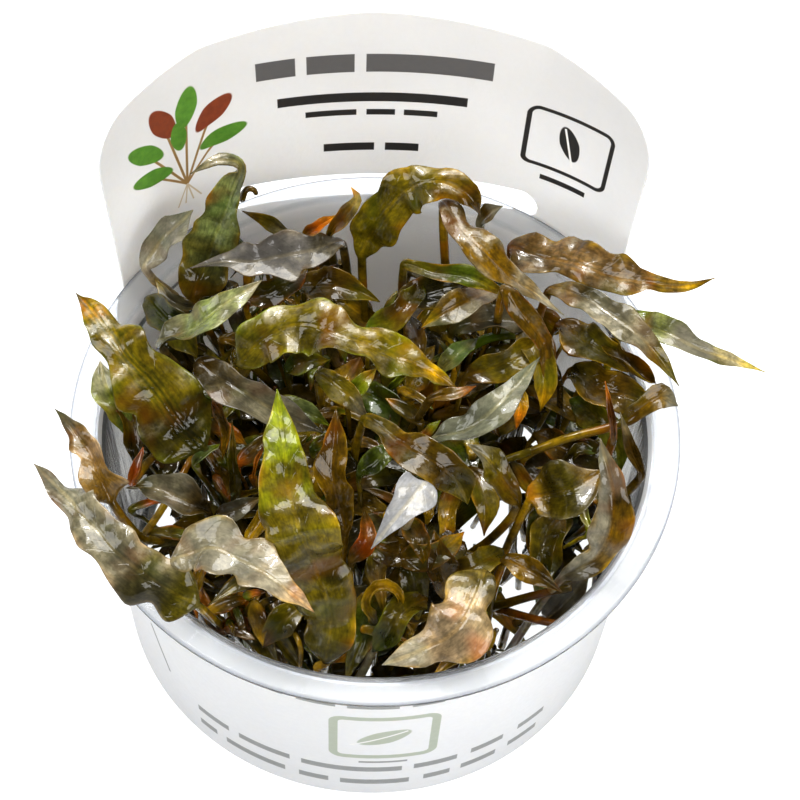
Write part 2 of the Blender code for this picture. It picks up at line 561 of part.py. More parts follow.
def build_leaf(name, collection):
    """One leaf: a round stalk from its crown that flattens into a folded, waved blade."""
    tint, crown, fold, wave, stalk, blade = LEAVES[name]
    stalk_points = leaf_start(name) + [sight(*place) for place in stalk]
    blade_points = [sight(*place[:3]) for place in blade]
    run = curve_points(stalk_points + blade_points, CURVE_STEPS)
    first = (CURVE_STEPS - 1) * len(stalk_points)
    stalk_run, blade_run = run[:first + 1], run[first:]
    lengths = [0.0]
    for here, there in zip(blade_run, blade_run[1:]):
        lengths.append(lengths[-1] + (there - here).length)
    knots = [lengths[(CURVE_STEPS - 1) * i] / lengths[-1] for i in range(len(blade))]
    left = [place[3] for place in blade]
    right = [place[4] for place in blade]
    cuts = min(MOST_CUTS, max(LEAST_CUTS, round(lengths[-1] / RING_SPACING)))
    blade_parts = [0.0] + [0.05 + 0.95 * i / cuts for i in range(cuts + 1)]
    frames = leaf_frames(along(stalk_run, STALK_CUTS) + along(blade_run, blade_parts))
    parts = [part - 1 for part in STALK_CUTS] + blade_parts
    shape = bmesh.new()
    bmesh.ops.create_cone(shape, cap_ends=True, segments=RING, radius1=1, radius2=1, depth=1,
                          matrix=Matrix.Translation((0, 0, 0.5)))
    uprights = [edge for edge in shape.edges if abs(edge.verts[0].co.z - edge.verts[1].co.z) > 0.5]
    bmesh.ops.subdivide_edges(shape, edges=uprights, cuts=len(parts) - 2, use_grid_fill=True)
    for vert in shape.verts:
        i = round(vert.co.z * (len(parts) - 1))
        half = half_width(knots, left if vert.co.x > 0 else right, parts[i])
        vert.co = leaf_point(frames[i], parts[i], vert.co.x, vert.co.y, half, fold, wave)
    add_mesh(name, shape, collection, material(name, TINTS[tint], 0.3))


def leaf_point(frame, part, across, through, half, fold, wave):
    """Where a point of the unit cylinder goes on a leaf."""
    point, ahead, sideways, facing = frame
    share = min(1.0, half / FULL_WAVE_WIDTH)
    half = (STALK_RADIUS ** 2 * (1 - smooth(part * 3)) + half ** 2) ** 0.5
    half = max(half, TIP_HALF)
    depth = STALK_RADIUS + (BLADE_HALF - STALK_RADIUS) * smooth(part / 0.2)
    depth = depth + (TIP_HALF - depth) * smooth((part - 0.7) / 0.3)
    open_up = smooth(part / 0.15)
    bend = radians(fold) * open_up
    reach = abs(across) * half
    swing = sin(tau * WAVES * part + (1 if across > 0 else -1))
    ripple = wave * share * across * across * open_up * swing
    out = sideways * (across * half * cos(bend)) + facing * (reach * sin(bend) + ripple)
    return point + out + facing * (through * depth)


def build_crowns(collection):
    """Each plantlet's crown: a short stock half sunk in the gel's surface, with its young leaves."""
    paint = material("crown", (0.16, 0.11, 0.03), 0.5)
    for name, (x, y) in CROWNS.items():
        shape = bmesh.new()
        place = Matrix.Translation((x, y, GEL_TOP + GAP + CROWN_HEIGHT / 2))
        size = Matrix.Diagonal((CROWN_RADIUS, CROWN_RADIUS, CROWN_HEIGHT / 2, 1))
        bmesh.ops.create_uvsphere(shape, u_segments=7, v_segments=5, radius=1, matrix=place @ size)
        shape.normal_update()
        sides = [face for face in shape.faces if len(face.verts) == 4 and face.normal.z > 0.3]
        sides.sort(key=lambda face: side_turn(face, x, y))
        for side, *sizes in YOUNG_LEAVES[name]:
            grow_young_leaf(shape, sides[side], x, y, *sizes)
        add_mesh(name, shape, collection, paint)


def side_turn(face, x, y):
    """How far round its crown a side lies, anticlockwise from the right."""
    centre = face.calc_center_median()
    return atan2(centre.y - y, centre.x - x) % tau


def grow_young_leaf(shape, face, x, y, turn, distance, height, heading, length, rise, half):
    """Extrude one side of a crown into a thin stalk and a pointed blade."""
    up = Vector((0, 0, 1))
    out = Vector((cos(radians(turn)), sin(radians(turn)), 0))
    onward = Vector((cos(radians(heading)), sin(radians(heading)), 0))
    level = up.cross(onward)
    root = face.calc_center_median()
    neck = root + up * NECK
    base = Vector((x, y, height)) + out * distance
    tip = base + onward * length + up * rise
    bend = neck.lerp(base, 0.65) + up * BEND_LIFT - onward
    wide = base.lerp(tip, 0.28) + up * BLADE_ARCH
    far = base.lerp(tip, 0.62) + up * BLADE_ARCH
    places = [root, neck, bend, base, wide, far, tip]
    sizes = [(YOUNG_STALK, YOUNG_STALK), (YOUNG_STALK, YOUNG_STALK), YOUNG_BASE,
             (half, YOUNG_BLADE[0]), (half * 0.82, YOUNG_BLADE[1])]
    for i, (width, thick) in enumerate(sizes, 1):
        ahead = (places[i + 1] - places[i - 1]).normalized()
        sideways = (level - ahead * level.dot(ahead)).normalized()
        facing = ahead.cross(sideways)
        face = bmesh.ops.extrude_discrete_faces(shape, faces=[face])["faces"][0]
        verts = list(face.verts)
        middle = face.calc_center_median()
        aim = middle + sideways if i == 1 else places[i - 1] + sideways * sizes[i - 2][0]
        first = min(range(4), key=lambda k: (verts[k].co - aim).length)
        verts = verts[first:] + verts[:first]
        corners = (sideways * width, facing * thick, sideways * -width, facing * -thick)
        for vert, corner in zip(verts, corners):
            vert.co = places[i] + corner
    point = bmesh.ops.poke(shape, faces=[face])["verts"][0]
    point.co = tip


def main():
    clear_scene()
    plant = new_collection("cryptocoryne_wendtii_pot")
    cutters = new_collection("cutters")
    build_cup(plant)
    build_gel(plant)
    build_sleeve(plant, cutters)
    build_crowns(plant)
    for name in LEAVES:
        build_leaf(name, plant)


main()
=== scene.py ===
import json
import random
from math import cos, exp, pi, radians, sin, tau

import bmesh
import bpy
from mathutils import Matrix, Vector
from mathutils.geometry import interpolate_bezier

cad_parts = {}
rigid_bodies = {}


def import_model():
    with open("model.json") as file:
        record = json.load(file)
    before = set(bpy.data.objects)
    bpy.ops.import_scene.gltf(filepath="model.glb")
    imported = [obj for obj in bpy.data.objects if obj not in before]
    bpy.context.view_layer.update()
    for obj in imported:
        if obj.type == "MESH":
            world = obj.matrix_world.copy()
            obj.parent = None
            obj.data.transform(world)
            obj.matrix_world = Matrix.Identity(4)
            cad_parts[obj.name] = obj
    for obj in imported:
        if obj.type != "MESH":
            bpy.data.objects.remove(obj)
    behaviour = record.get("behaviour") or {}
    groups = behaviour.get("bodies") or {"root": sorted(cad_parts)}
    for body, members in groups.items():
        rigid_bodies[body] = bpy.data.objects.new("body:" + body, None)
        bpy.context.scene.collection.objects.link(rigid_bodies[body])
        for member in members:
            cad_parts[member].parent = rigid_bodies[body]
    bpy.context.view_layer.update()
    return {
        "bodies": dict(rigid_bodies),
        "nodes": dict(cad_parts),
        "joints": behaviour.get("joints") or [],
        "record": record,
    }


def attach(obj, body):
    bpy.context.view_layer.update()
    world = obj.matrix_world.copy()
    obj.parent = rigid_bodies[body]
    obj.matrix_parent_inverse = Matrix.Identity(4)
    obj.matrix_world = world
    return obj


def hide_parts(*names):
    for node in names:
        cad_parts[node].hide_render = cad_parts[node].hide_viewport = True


# Lengths are in millimetres and become metres when a mesh is made.
MM = 0.001

# Cup and sleeve: the same sizes as the solids
CUP_HEIGHT = 52.4
FLANGE_RADIUS = 50.5
FLANGE_THICKNESS = 1.0
MOUTH_RADIUS = 46.2
WALL = 0.8
WALL_TOP_RADIUS = 45.6
BASE_RADIUS = 42.2
CUP_SIDES = 144
CARD = 0.42
CARD_GAP = 0.5
CARD_FOOT = 1.2
CARD_ROWS = 16
PANEL_COLUMNS = 120
FRONT_COLUMNS = 110
PANEL_LEFT = -60.0
PANEL_RIGHT = 51.0
PANEL_SHOULDER = 89.3
PANEL_TOP = 96.3
SHOULDER_SPREAD = 8.0
SHOULDER_DROP = 8.0
PANEL_LEAN = 0.10
PANEL_PINCH = 3.4
PINCH_SPREAD = 31.0
CARD_FLARE = 14.0
FLARE_FOOT = 20.0
FLARE_RISE = 30.0
SLOT_LEFT = -30.0
SLOT_RIGHT = 25.5
SLOT_BOTTOM = CUP_HEIGHT - FLANGE_THICKNESS - 0.6
SLOT_TOP = CUP_HEIGHT + 4.3
SLOT_REACH = 40
CARD_EDGE_ANGLE = radians(40)
GEL_FLOOR = WALL + 0.3
GEL_TOP = 8.0
CROWN_RADIUS = 3.0
CROWN_HEIGHT = 6.0
COLLAR_RADIUS = 4.4
STALK_FOOT = GEL_TOP + 2.0
STALK_RISE = 7.0

# The photograph's view of the plant: a long lens in front of the cup, looking down at it
VIEW_ELEVATION = radians(59.12)
VIEW_ROLL = radians(3.27)
VIEW_DISTANCE = 498.7
VIEW_TARGET = Vector((3.74, 5.42, CUP_HEIGHT))
VIEW_LENS = 3000.0
VIEW_CENTRE = 400.0

# Fine leaves: stalk and blade sizes, the lengths of the waves along a blade, and how finely
# a leaf is cut up
STALK_RADIUS = 0.75
BLADE_HALF = 0.15
TIP_HALF = 0.08
WAVES = 2.5
FULL_WAVE_WIDTH = 3.0
WAVE_LENGTH = 12.5
RUFFLE_LENGTH = 5.2
CREASE_SHARPNESS = 55.0
SHEEN_START = 0.86
CURVE_STEPS = 24
BLADE_SIDES = 26
BLADE_SPACING = 0.7
STALK_SPACING = 3.0
ON_STALK = -9.0

# Slow waves of a blade: a height in mm, or an angle for the roll, and how fast each runs along
# the blade, in radians a mm. The midrib's groove has a depth and a half width.
QUILT, QUILT_RATE = 0.30, 0.62
FINE_QUILT, FINE_QUILT_RATE = 0.16, 1.7
SWAY, SWAY_RATE = 0.30, 0.47
ROLL, ROLL_RATE = 0.24, 0.17
GROOVE, GROOVE_HALF = 0.20, 0.7

# Young leaves on a crown: where they start on it, and how their stalks and blades bend
YOUNG_ROOT_RADIUS = 2.0
YOUNG_ROOT_HEIGHT = GEL_TOP + 4.8
CROWN_SIDES = 7
NECK = 4.5
BEND_LIFT = 1.5
BLADE_ARCH = 0.85

# How far from the middle of the cup the small things may reach
SMALL_LEAF_REACH = 41.5
SHOOT_REACH = 42
STALK_REACH = 41
ROOT_REACH = 40

# Leaf colours by name. Silver, steel and fog, and in part grey and lavender, are painted sheen: the
# pale grey that light reflected off wet leaves lends them, put into their colour
HUES = {
    "gold": (0.25, 0.148, 0.003),
    "olive": (0.088, 0.065, 0.002),
    "moss": (0.040, 0.054, 0.002),
    "lime": (0.135, 0.158, 0.004),
    "umber": (0.070, 0.038, 0.001),
    "rust": (0.13, 0.042, 0.002),
    "amber": (0.36, 0.120, 0.003),
    "dark": (0.022, 0.017, 0.004),
    "lavender": (0.090, 0.082, 0.072),
    "grey": (0.105, 0.092, 0.055),
    "sage": (0.125, 0.145, 0.045),
    "mauve": (0.115, 0.066, 0.020),
    "beige": (0.26, 0.185, 0.10),
    "straw": (0.34, 0.26, 0.07),
    "cream": (0.55, 0.50, 0.33),
    "silver": (0.185, 0.168, 0.120),
    "bronze": (0.050, 0.040, 0.002),
    "steel": (0.23, 0.23, 0.23),
    "fog": (0.100, 0.100, 0.066),
}

# Crowns: where each plantlet stands on the gel, x and y in millimetres
CROWNS = {
    "crown_west": (-29.0, 2.0),
    "crown_northwest": (-20.0, 22.0),
    "crown_north": (0.0, 27.0),
    "crown_northeast": (20.0, 21.0),
    "crown_east": (30.0, 0.0),
    "crown_southeast": (20.0, -20.0),
    "crown_south": (-2.0, -28.0),
    "crown_southwest": (-22.0, -20.0),
    "crown_middle": (-3.0, 3.0),
}

# Young leaves that each crown has grown: the crown's side that it leaves, where its blade starts
# (turn about the crown in degrees, distance out and height in mm), the blade's heading in degrees,
# length, rise and half width.
YOUNG_LEAVES = {
    "crown_west": [(5, -43, 2.5, 42, -4, 18, -1.9, 2.8),
                   (2, 74, 2.3, 31, 9, 14, 2.9, 2.8),
                   (0, -7, 4.7, 29, 54, 10, 1.7, 2.0)],
    "crown_northwest": [(0, 4, 3.5, 25, 48, 17, -2.4, 2.6),
                        (2, 83, 3.2, 38, 57, 16, 2.3, 2.5),
                        (5, -113, 6.3, 28, -133, 16, 1.4, 2.8)],
    "crown_north": [(2, 89, 3.1, 38, 26, 16, 3.2, 3.3),
                    (0, 61, 7.2, 27, -3, 16, 1.8, 2.7),
                    (4, -153, 8.9, 28, -206, 15, -0.2, 2.6)],
    "crown_northeast": [(1, 18, 6.3, 26, -42, 18, 0.5, 3.0),
                        (6, -54, 9.5, 45, -32, 14, 1.3, 2.8),
                        (3, 125, 7.2, 27, 148, 15, -3.0, 2.6)],
    "crown_east": [(6, -39, 2.3, 34, -100, 19, -2.6, 3.6),
                   (4, -123, 2.7, 32, -82, 18, -2.3, 3.4),
                   (1, 86, 4.0, 34, 33, 11, 2.2, 1.8)],
    "crown_southeast": [(4, -166, 8.8, 35, -156, 18, -1.3, 3.5),
                        (6, -80, 7.4, 33, -134, 14, 3.5, 2.6),
                        (2, 128, 2.8, 41, 191, 11, 3.0, 1.6)],
    "crown_south": [(3, 215, 4.6, 27, 191, 17, -2.6, 2.7),
                    (5, -42, 8.6, 25, -10, 13, -0.6, 2.6),
                    (1, 46, 8.7, 34, 43, 12, -2.4, 2.4)],
    "crown_southwest": [(4, -94, 5.3, 38, -55, 16, -1.1, 3.0),
                        (6, -85, 6.1, 31, -37, 18, -0.5, 2.8)],
    "crown_middle": [(5, -93, 2.1, 43, -166, 14, 0.2, 2.4),
                     (1, 44, 2.3, 29, -31, 9, -1.9, 1.6),
                     (3, 175, 5.2, 42, 160, 10, -1.8, 1.6)],
}

# Leaves: tint, crown, fold in degrees, wave in mm, the stalk's places and the blade's. A place is
# a point of the photograph, across and down, and its height in mm. A blade's places follow its
# midrib from base to tip, each with the blade's left and right half width there in mm.
LEAVES = {
    "leaf_left_long": ("olive", "crown_west", 14, 0.7, [],
                       [(203, 446, 57, 0, 0), (184, 428, 60, 6.6, 6.4), (156, 390, 65, 6.3, 5.6),
                        (120, 348, 68, 3.4, 4), (100, 320, 67, 2.6, 2.9), (76, 293, 63, 0, 0)]),
    "leaf_left_low": ("mauve", "crown_southwest", 12, 0.6, [],
                      [(196, 604, 56, 0, 0), (172, 592, 58, 5, 4.8), (150, 578, 60, 5.5, 4.6),
                       (112, 548, 62, 3.7, 4), (70, 500, 61, 2.7, 3.4), (34, 464, 57, 0, 0)]),
    "leaf_left_curled": ("brown", "crown_west", 30, 0.6, [(145, 540, 48), (124, 520, 56)],
                         [(112, 502, 59, 0, 0), (102, 480, 62, 3.4, 3.2), (90, 455, 64, 3.2, 3.8),
                          (73, 429, 64, 1.2, 1.4), (55, 409, 62, 0, 0)]),
    "leaf_left_pale": ("pale", "crown_west", 10, 0.3, [],
                       [(130, 432, 52, 0, 0), (118, 408, 55, 2.6, 2.2), (106, 386, 57, 3, 2.4),
                        (100, 361, 57, 0, 0)]),
    "leaf_small_orange": ("red", "crown_west", 20, 0.2, [(156, 458, 50)],
                          [(132, 482, 60, 0, 0), (137, 470, 62, 1.4, 1.8), (143, 447, 62, 0, 0)]),
    "leaf_left_boat": ("silver", "crown_southwest", 25, 0.3, [],
                       [(208, 514, 51, 0, 0), (185, 500, 54, 3.2, 4.4), (158, 490, 54, 3, 3),
                        (126, 488, 51, 0, 0)]),
    "leaf_front_grey": ("silver", "crown_southwest", 10, 0.6, [],
                        [(174, 562, 60, 0, 0), (196, 552, 63, 3.5, 3.8), (216, 549, 66, 5.2, 4.2),
                         (252, 566, 68, 4, 4.4), (286, 590, 68, 2.4, 2.4), (314, 612, 63, 0, 0)]),
    "leaf_centre_green": ("green", "crown_south", 12, 0.6, [],
                          [(326, 660, 44, 0, 0), (330, 615, 54, 5.5, 4.6), (316, 570, 62, 7.5, 5),
                           (300, 530, 71, 6.6, 6.2), (288, 488, 73.5, 4.7, 4.6),
                           (283, 440, 76, 3.1, 2.8), (277, 389, 78, 0, 0)]),
    "leaf_centre_brown": ("brown", "crown_south", 16, 0.4, [],
                          [(345, 532, 54, 0, 0), (337, 500, 60, 2.4, 2.6), (333, 472, 65, 3.6, 3.1),
                           (335, 438, 69, 1.8, 1.7), (336, 409, 71, 0, 0)]),
    "leaf_brown_rolled": ("brown", "crown_northwest", 24, 0.4, [],
                          [(200, 362, 62, 0, 0), (222, 378, 63, 3, 4.5), (250, 396, 63, 3.2, 5),
                           (290, 418, 61, 2.4, 2.4), (323, 432, 58, 0, 0)]),
    "leaf_top_long": ("olive", "crown_northwest", 14, 0.7, [(238, 352, 58)],
                      [(240, 364, 66, 0, 0), (262, 340, 71, 3.6, 4.2), (300, 324, 75, 4.6, 4.8),
                       (346, 338, 77, 3.4, 3.4), (400, 358, 74, 3.6, 3.7), (434, 374, 71, 1.8, 1.8),
                       (456, 387, 68, 0, 0)]),
    "leaf_left_green_grey": ("pale", "crown_northwest", 12, 0.4, [],
                             [(160, 345, 58, 0, 0), (178, 336, 62, 3.4, 2.8),
                              (198, 324, 66, 3.2, 4.4), (226, 304, 70, 2.2, 3.2),
                              (262, 280, 72, 0, 0)]),
    "leaf_back_lavender": ("silver", "crown_north", 8, 0.6, [],
                           [(343, 246, 62, 0, 0), (314, 250, 66, 2.8, 2.8), (282, 256, 68, 5, 3.7),
                            (252, 262, 69, 2.6, 3.4), (222, 262, 69, 1.4, 1.7),
                            (190, 268, 67, 0, 0)]),
    "leaf_back_tall": ("olive", "crown_northwest", 10, 0.3, [],
                       [(195, 300, 52, 0, 0), (204, 268, 58, 4.5, 4.6), (218, 230, 66, 4.6, 3.8),
                        (231, 196, 74, 3.4, 1.8), (240, 166, 81, 1.6, 1), (222, 160, 84, 1.6, 1.6),
                        (190, 174, 82, 0, 0)]),
    "leaf_back_silver": ("silver", "crown_west", 12, 0.3, [(206, 396, 29), (182, 305, 48)],
                         [(146, 270, 58, 0, 0), (158, 246, 62, 2.4, 2.8), (175, 228, 65, 2.8, 3.6),
                          (193, 210, 67, 0, 0)]),
    "leaf_small_arch": ("olive", "crown_north", 12, 0.2, [],
                        [(290, 238, 56, 0, 0), (270, 222, 59, 1.6, 1.2), (242, 211, 60, 0, 0)]),
    "leaf_cupped_left": ("olive", "crown_northwest", 20, 0.3, [],
                         [(194, 309, 55, 0, 0), (174, 302, 57, 2.2, 1.8), (155, 279, 58, 0, 0)]),
    "leaf_top_arch": ("gold", "crown_north", 12, 0.7, [],
                      [(362, 258, 62, 0, 0), (378, 224, 70, 3.8, 3.8), (404, 192, 78, 3.6, 4),
                       (440, 182, 82, 3.2, 3.4), (468, 196, 81, 2, 1.6), (481, 217, 77, 0, 0)]),
    "leaf_top_sliver": ("olive", "crown_north", 20, 0.2, [],
                        [(330, 240, 61, 0, 0), (345, 215, 70, 1.4, 1.8), (357, 198, 75, 0.9, 0.9),
                         (351, 187, 77, 0, 0)]),
    "leaf_hanging_grey": ("silver", "crown_northeast", 12, 0.4, [],
                          [(443, 206, 77, 0, 0), (466, 232, 80, 2.9, 2.6), (492, 260, 78, 3.2, 3),
                           (524, 286, 73, 2, 1.8), (564, 315, 66, 0, 0)]),
    "leaf_small_dark": ("dark", "crown_northeast", 12, 0.2, [],
                        [(480, 226, 66, 0, 0), (490, 212, 71, 1.8, 1.4), (503, 206, 73, 0, 0)]),
    "leaf_right_top": ("mauve", "crown_northeast", 14, 0.6, [],
                       [(511, 250, 60, 0, 0), (532, 255, 62, 3.8, 4.2), (562, 260, 65, 4.3, 2.4),
                        (592, 270, 67, 4.5, 2.7), (616, 277, 66, 3.8, 3.4),
                        (646, 283, 64, 2.3, 1.6), (684, 287, 61, 1, 1), (715, 278, 59, 0, 0)]),
    "leaf_right_long": ("silver", "crown_northeast", 12, 0.4, [],
                        [(548, 293, 61, 0, 0), (586, 300, 66, 2.2, 2.6), (620, 321, 68, 2.8, 3),
                         (650, 348, 66, 2.2, 2.2), (679, 386, 60, 0, 0)]),
    "leaf_far_right": ("pale", "crown_east", 12, 0.5, [],
                       [(627, 318, 60, 0, 0), (650, 327, 62, 2.6, 2), (674, 337, 64, 3, 2.3),
                        (700, 349, 63, 1.6, 1.8), (730, 360, 60, 1.3, 1.4), (765, 372, 56, 0, 0)]),
    "leaf_right_cupped": ("olive", "crown_east", 22, 0.3, [],
                          [(606, 345, 58, 0, 0), (624, 360, 61, 2.6, 3.6), (640, 374, 61, 2.6, 3),
                           (656, 384, 58, 0, 0)]),
    "leaf_right_dark": ("dark", "crown_east", 16, 0.3, [(522, 460, 48), (562, 440, 54)],
                        [(620, 424, 56, 0, 0), (640, 410, 59, 1.8, 1.4), (660, 398, 60, 2.6, 2.2),
                         (678, 406, 57, 0, 0)]),
    "leaf_narrow_red": ("red", "crown_east", 20, 0.2, [],
                        [(612, 442, 58, 0, 0), (611, 412, 64, 0.9, 0.9), (605, 381, 68, 0, 0)]),
    "leaf_right_black": ("dark", "crown_east", 16, 0.2, [],
                         [(640, 478, 54, 0, 0), (632, 452, 57, 1.4, 1.4), (620, 412, 60, 0, 0)]),
    "leaf_right_mauve": ("mauve", "crown_southeast", 14, 0.4, [],
                         [(562, 578, 50, 0, 0), (596, 558, 57, 2.2, 2.4), (611, 530, 62, 3.4, 3.2),
                          (613, 492, 67, 2.4, 2.6), (606, 462, 71, 1.3, 1.4),
                          (600, 438, 73, 0, 0)]),
    "leaf_right_round": ("olive", "crown_southeast", 12, 0.3, [],
                         [(530, 500, 55, 0, 0), (548, 494, 57, 4.5, 4.6), (574, 488, 60, 5.2, 5.4),
                          (602, 470, 61, 0, 0)]),
    "leaf_silver_top": ("silver", "crown_middle", 12, 0.3, [],
                        [(434, 441, 66, 0, 0), (464, 430, 71, 2.8, 2.4), (496, 408, 74, 2.6, 3),
                         (518, 384, 74, 1.6, 1.8), (540, 357, 72, 0, 0)]),
    "leaf_silver_hanging": ("silver", "crown_southeast", 12, 0.3, [(458, 566, 34), (492, 538, 43)],
                            [(517, 506, 52, 0, 0), (506, 484, 57, 2.4, 1.8),
                             (490, 462, 61, 2.8, 3), (468, 444, 64, 0, 0)]),
    "leaf_centre_olive": ("mauve", "crown_middle", 12, 0.4, [],
                          [(364, 420, 61, 0, 0), (396, 440, 65, 2, 2.6), (430, 460, 67, 3.2, 4),
                           (456, 480, 63, 3.4, 3), (468, 504, 58, 0, 0)]),
    "leaf_silver_triangle": ("silver", "crown_south", 6, 0.2, [],
                             [(424, 486, 67, 0, 0), (419, 490, 69, 3.6, 3.6),
                              (398, 516, 68, 2.1, 2.2), (371, 549, 64, 0, 0)]),
    "leaf_bottom_beige": ("mauve", "crown_southeast", 12, 0.4, [],
                          [(484, 574, 57, 0, 0), (474, 602, 61, 3, 5.5), (456, 630, 61, 5.6, 5.6),
                           (422, 650, 57, 2.8, 3.4), (382, 665, 54, 0, 0)]),
    "leaf_low_brown": ("brown", "crown_south", 14, 0.3, [],
                       [(448, 602, 46, 0, 0), (440, 565, 52, 3, 3), (434, 530, 56, 0, 0)]),
    "leaf_low_dark": ("dark", "crown_south", 14, 0.3, [],
                      [(418, 612, 42, 0, 0), (412, 575, 48, 2.8, 2.8), (405, 545, 52, 0, 0)]),
    "leaf_orange_wavy": ("gold", "crown_southeast", 14, 0.3, [],
                         [(504, 562, 50, 0, 0), (532, 572, 53, 2.4, 2.2), (562, 592, 50, 0, 0)]),
    "leaf_low_right": ("dark", "crown_southeast", 14, 0.3, [],
                       [(546, 618, 34, 0, 0), (566, 602, 39, 3.6, 3.2), (590, 572, 44, 0, 0)]),
    "leaf_bottom_olive": ("olive", "crown_southwest", 14, 0.3, [],
                          [(300, 608, 44, 0, 0), (280, 624, 45, 3, 3), (262, 648, 42, 0, 0)]),
    "leaf_bottom_yellow": ("gold", "crown_south", 14, 0.3, [],
                           [(376, 638, 38, 0, 0), (350, 652, 40, 2.2, 2.2), (333, 663, 38, 0, 0)]),
    "leaf_fan": ("gold", "crown_northeast", 14, 0.3, [],
                 [(498, 292, 61, 0, 0), (476, 298, 64, 2.4, 2.4), (450, 310, 66, 2.8, 2.6),
                  (421, 328, 64, 0, 0)]),
    "leaf_fan_back": ("olive", "crown_north", 14, 0.3, [],
                      [(404, 266, 63, 0, 0), (430, 271, 66, 1.4, 1.6), (470, 278, 67, 2, 1.6),
                       (515, 300, 64, 0, 0)]),
    "leaf_hanging_brown": ("brown", "crown_northeast", 14, 0.3, [],
                           [(503, 290, 70, 0, 0), (526, 318, 67, 2.2, 2.4),
                            (545, 345, 62, 1.6, 1.8), (547, 370, 58, 1.2, 1.2),
                            (548, 396, 54, 0, 0)]),
    "leaf_mid_olive": ("olive", "crown_middle", 14, 0.3, [],
                       [(318, 376, 61, 0, 0), (345, 392, 64, 2.2, 2.6), (368, 418, 60, 0, 0)]),
    "leaf_mid_green": ("green", "crown_middle", 14, 0.3, [],
                       [(282, 402, 55, 0, 0), (306, 412, 57, 2, 2), (330, 426, 55, 0, 0)]),
    "leaf_mid_brown": ("brown", "crown_middle", 14, 0.3, [],
                       [(430, 400, 60, 0, 0), (455, 394, 63, 1.4, 1.2), (476, 386, 62, 0, 0)]),
}

# Each leaf's hues: at its base, its middle and its tip, and along its edge, and where a fifth is
# given, on one half. Silver, steel and fog, and in part grey and lavender, are painted sheen
LEAF_HUES = {
    "leaf_left_long": ("bronze", "olive", "gold", "lime"),
    "leaf_left_low": ("bronze", "grey", "silver", "beige"),
    "leaf_left_curled": ("umber", "mauve", "grey", "beige"),
    "leaf_left_pale": ("sage", "lime", "cream", "lime"),
    "leaf_small_orange": ("rust", "rust", "rust", "amber"),
    "leaf_left_boat": ("umber", "grey", "umber", "silver"),
    "leaf_front_grey": ("grey", "silver", "beige", "gold"),
    "leaf_centre_green": ("bronze", "olive", "lime", "gold"),
    "leaf_centre_brown": ("umber", "umber", "umber", "gold"),
    "leaf_brown_rolled": ("umber", "grey", "grey", "lavender"),
    "leaf_top_long": ("bronze", "olive", "gold", "lime"),
    "leaf_left_green_grey": ("grey", "sage", "grey", "olive"),
    "leaf_back_lavender": ("dark", "lavender", "lavender", "umber"),
    "leaf_back_tall": ("olive", "sage", "grey", "gold"),
    "leaf_back_silver": ("silver", "silver", "silver", "dark"),
    "leaf_small_arch": ("grey", "olive", "umber", "gold"),
    "leaf_cupped_left": ("olive", "grey", "olive", "gold"),
    "leaf_top_arch": ("olive", "olive", "umber", "gold"),
    "leaf_top_sliver": ("olive", "umber", "straw", "gold"),
    "leaf_hanging_grey": ("umber", "umber", "silver", "grey"),
    "leaf_small_dark": ("grey", "umber", "silver", "olive"),
    "leaf_right_top": ("mauve", "mauve", "gold", "gold"),
    "leaf_right_long": ("umber", "grey", "olive", "olive"),
    "leaf_far_right": ("lime", "silver", "straw", "lime"),
    "leaf_right_cupped": ("olive", "umber", "umber", "gold"),
    "leaf_right_dark": ("bronze", "umber", "grey", "grey"),
    "leaf_narrow_red": ("umber", "rust", "amber", "amber"),
    "leaf_right_black": ("umber", "umber", "grey", "umber"),
    "leaf_right_mauve": ("grey", "umber", "silver", "gold", "silver"),
    "leaf_right_round": ("gold", "bronze", "umber", "grey"),
    "leaf_silver_top": ("fog", "fog", "fog", "dark"),
    "leaf_silver_hanging": ("umber", "olive", "grey", "grey"),
    "leaf_centre_olive": ("olive", "umber", "bronze", "gold"),
    "leaf_silver_triangle": ("steel", "steel", "steel", "steel"),
    "leaf_bottom_beige": ("olive", "beige", "silver", "gold"),
    "leaf_low_brown": ("umber", "umber", "umber", "rust"),
    "leaf_low_dark": ("bronze", "bronze", "umber", "olive"),
    "leaf_orange_wavy": ("umber", "umber", "bronze", "gold"),
    "leaf_low_right": ("umber", "grey", "dark", "grey"),
    "leaf_bottom_olive": ("olive", "olive", "umber", "gold"),
    "leaf_bottom_yellow": ("cream", "gold", "amber", "straw"),
    "leaf_fan": ("silver", "umber", "gold", "olive", "grey"),
    "leaf_fan_back": ("olive", "moss", "olive", "gold"),
    "leaf_hanging_brown": ("umber", "umber", "umber", "rust"),
    "leaf_mid_olive": ("olive", "olive", "grey", "gold"),
    "leaf_mid_green": ("sage", "sage", "lime", "lime"),
    "leaf_mid_brown": ("umber", "umber", "rust", "rust"),
}

# How far a leaf's left and right halves roll up, in radians, where it isn't little
CURLS = {
    "leaf_left_curled": (-0.5, -0.6),
    "leaf_brown_rolled": (0.1, 0.5),
    "leaf_left_boat": (1.1, 1.1),
    "leaf_right_cupped": (1.2, 1.2),
    "leaf_top_long": (-0.7, 0.3),
    "leaf_left_low": (-0.5, -0.5),
    "leaf_left_long": (-0.3, -0.6),
    "leaf_centre_green": (-0.6, -0.4),
    "leaf_right_top": (-0.2, -0.3),
    "leaf_right_mauve": (-0.2, -0.5),
    "leaf_back_tall": (0.8, -0.3),
    "leaf_top_arch": (-0.5, -0.2),
    "leaf_hanging_grey": (-0.3, -0.4),
    "leaf_bottom_beige": (-0.4, -0.7),
    "leaf_fan": (0.5, -0.5),
    "leaf_right_round": (-0.5, 0.9),
    "leaf_small_orange": (1.5, 1.5),
    "leaf_silver_triangle": (0.05, 0.05),
}

# How uneven a leaf's outline is, where it isn't little
RAGGED = {"leaf_front_grey": 0.20, "leaf_back_lavender": 0.14, "leaf_right_long": 0.13,
          "leaf_left_curled": 0.3, "leaf_silver_triangle": 0.0, "leaf_centre_green": 0.06}

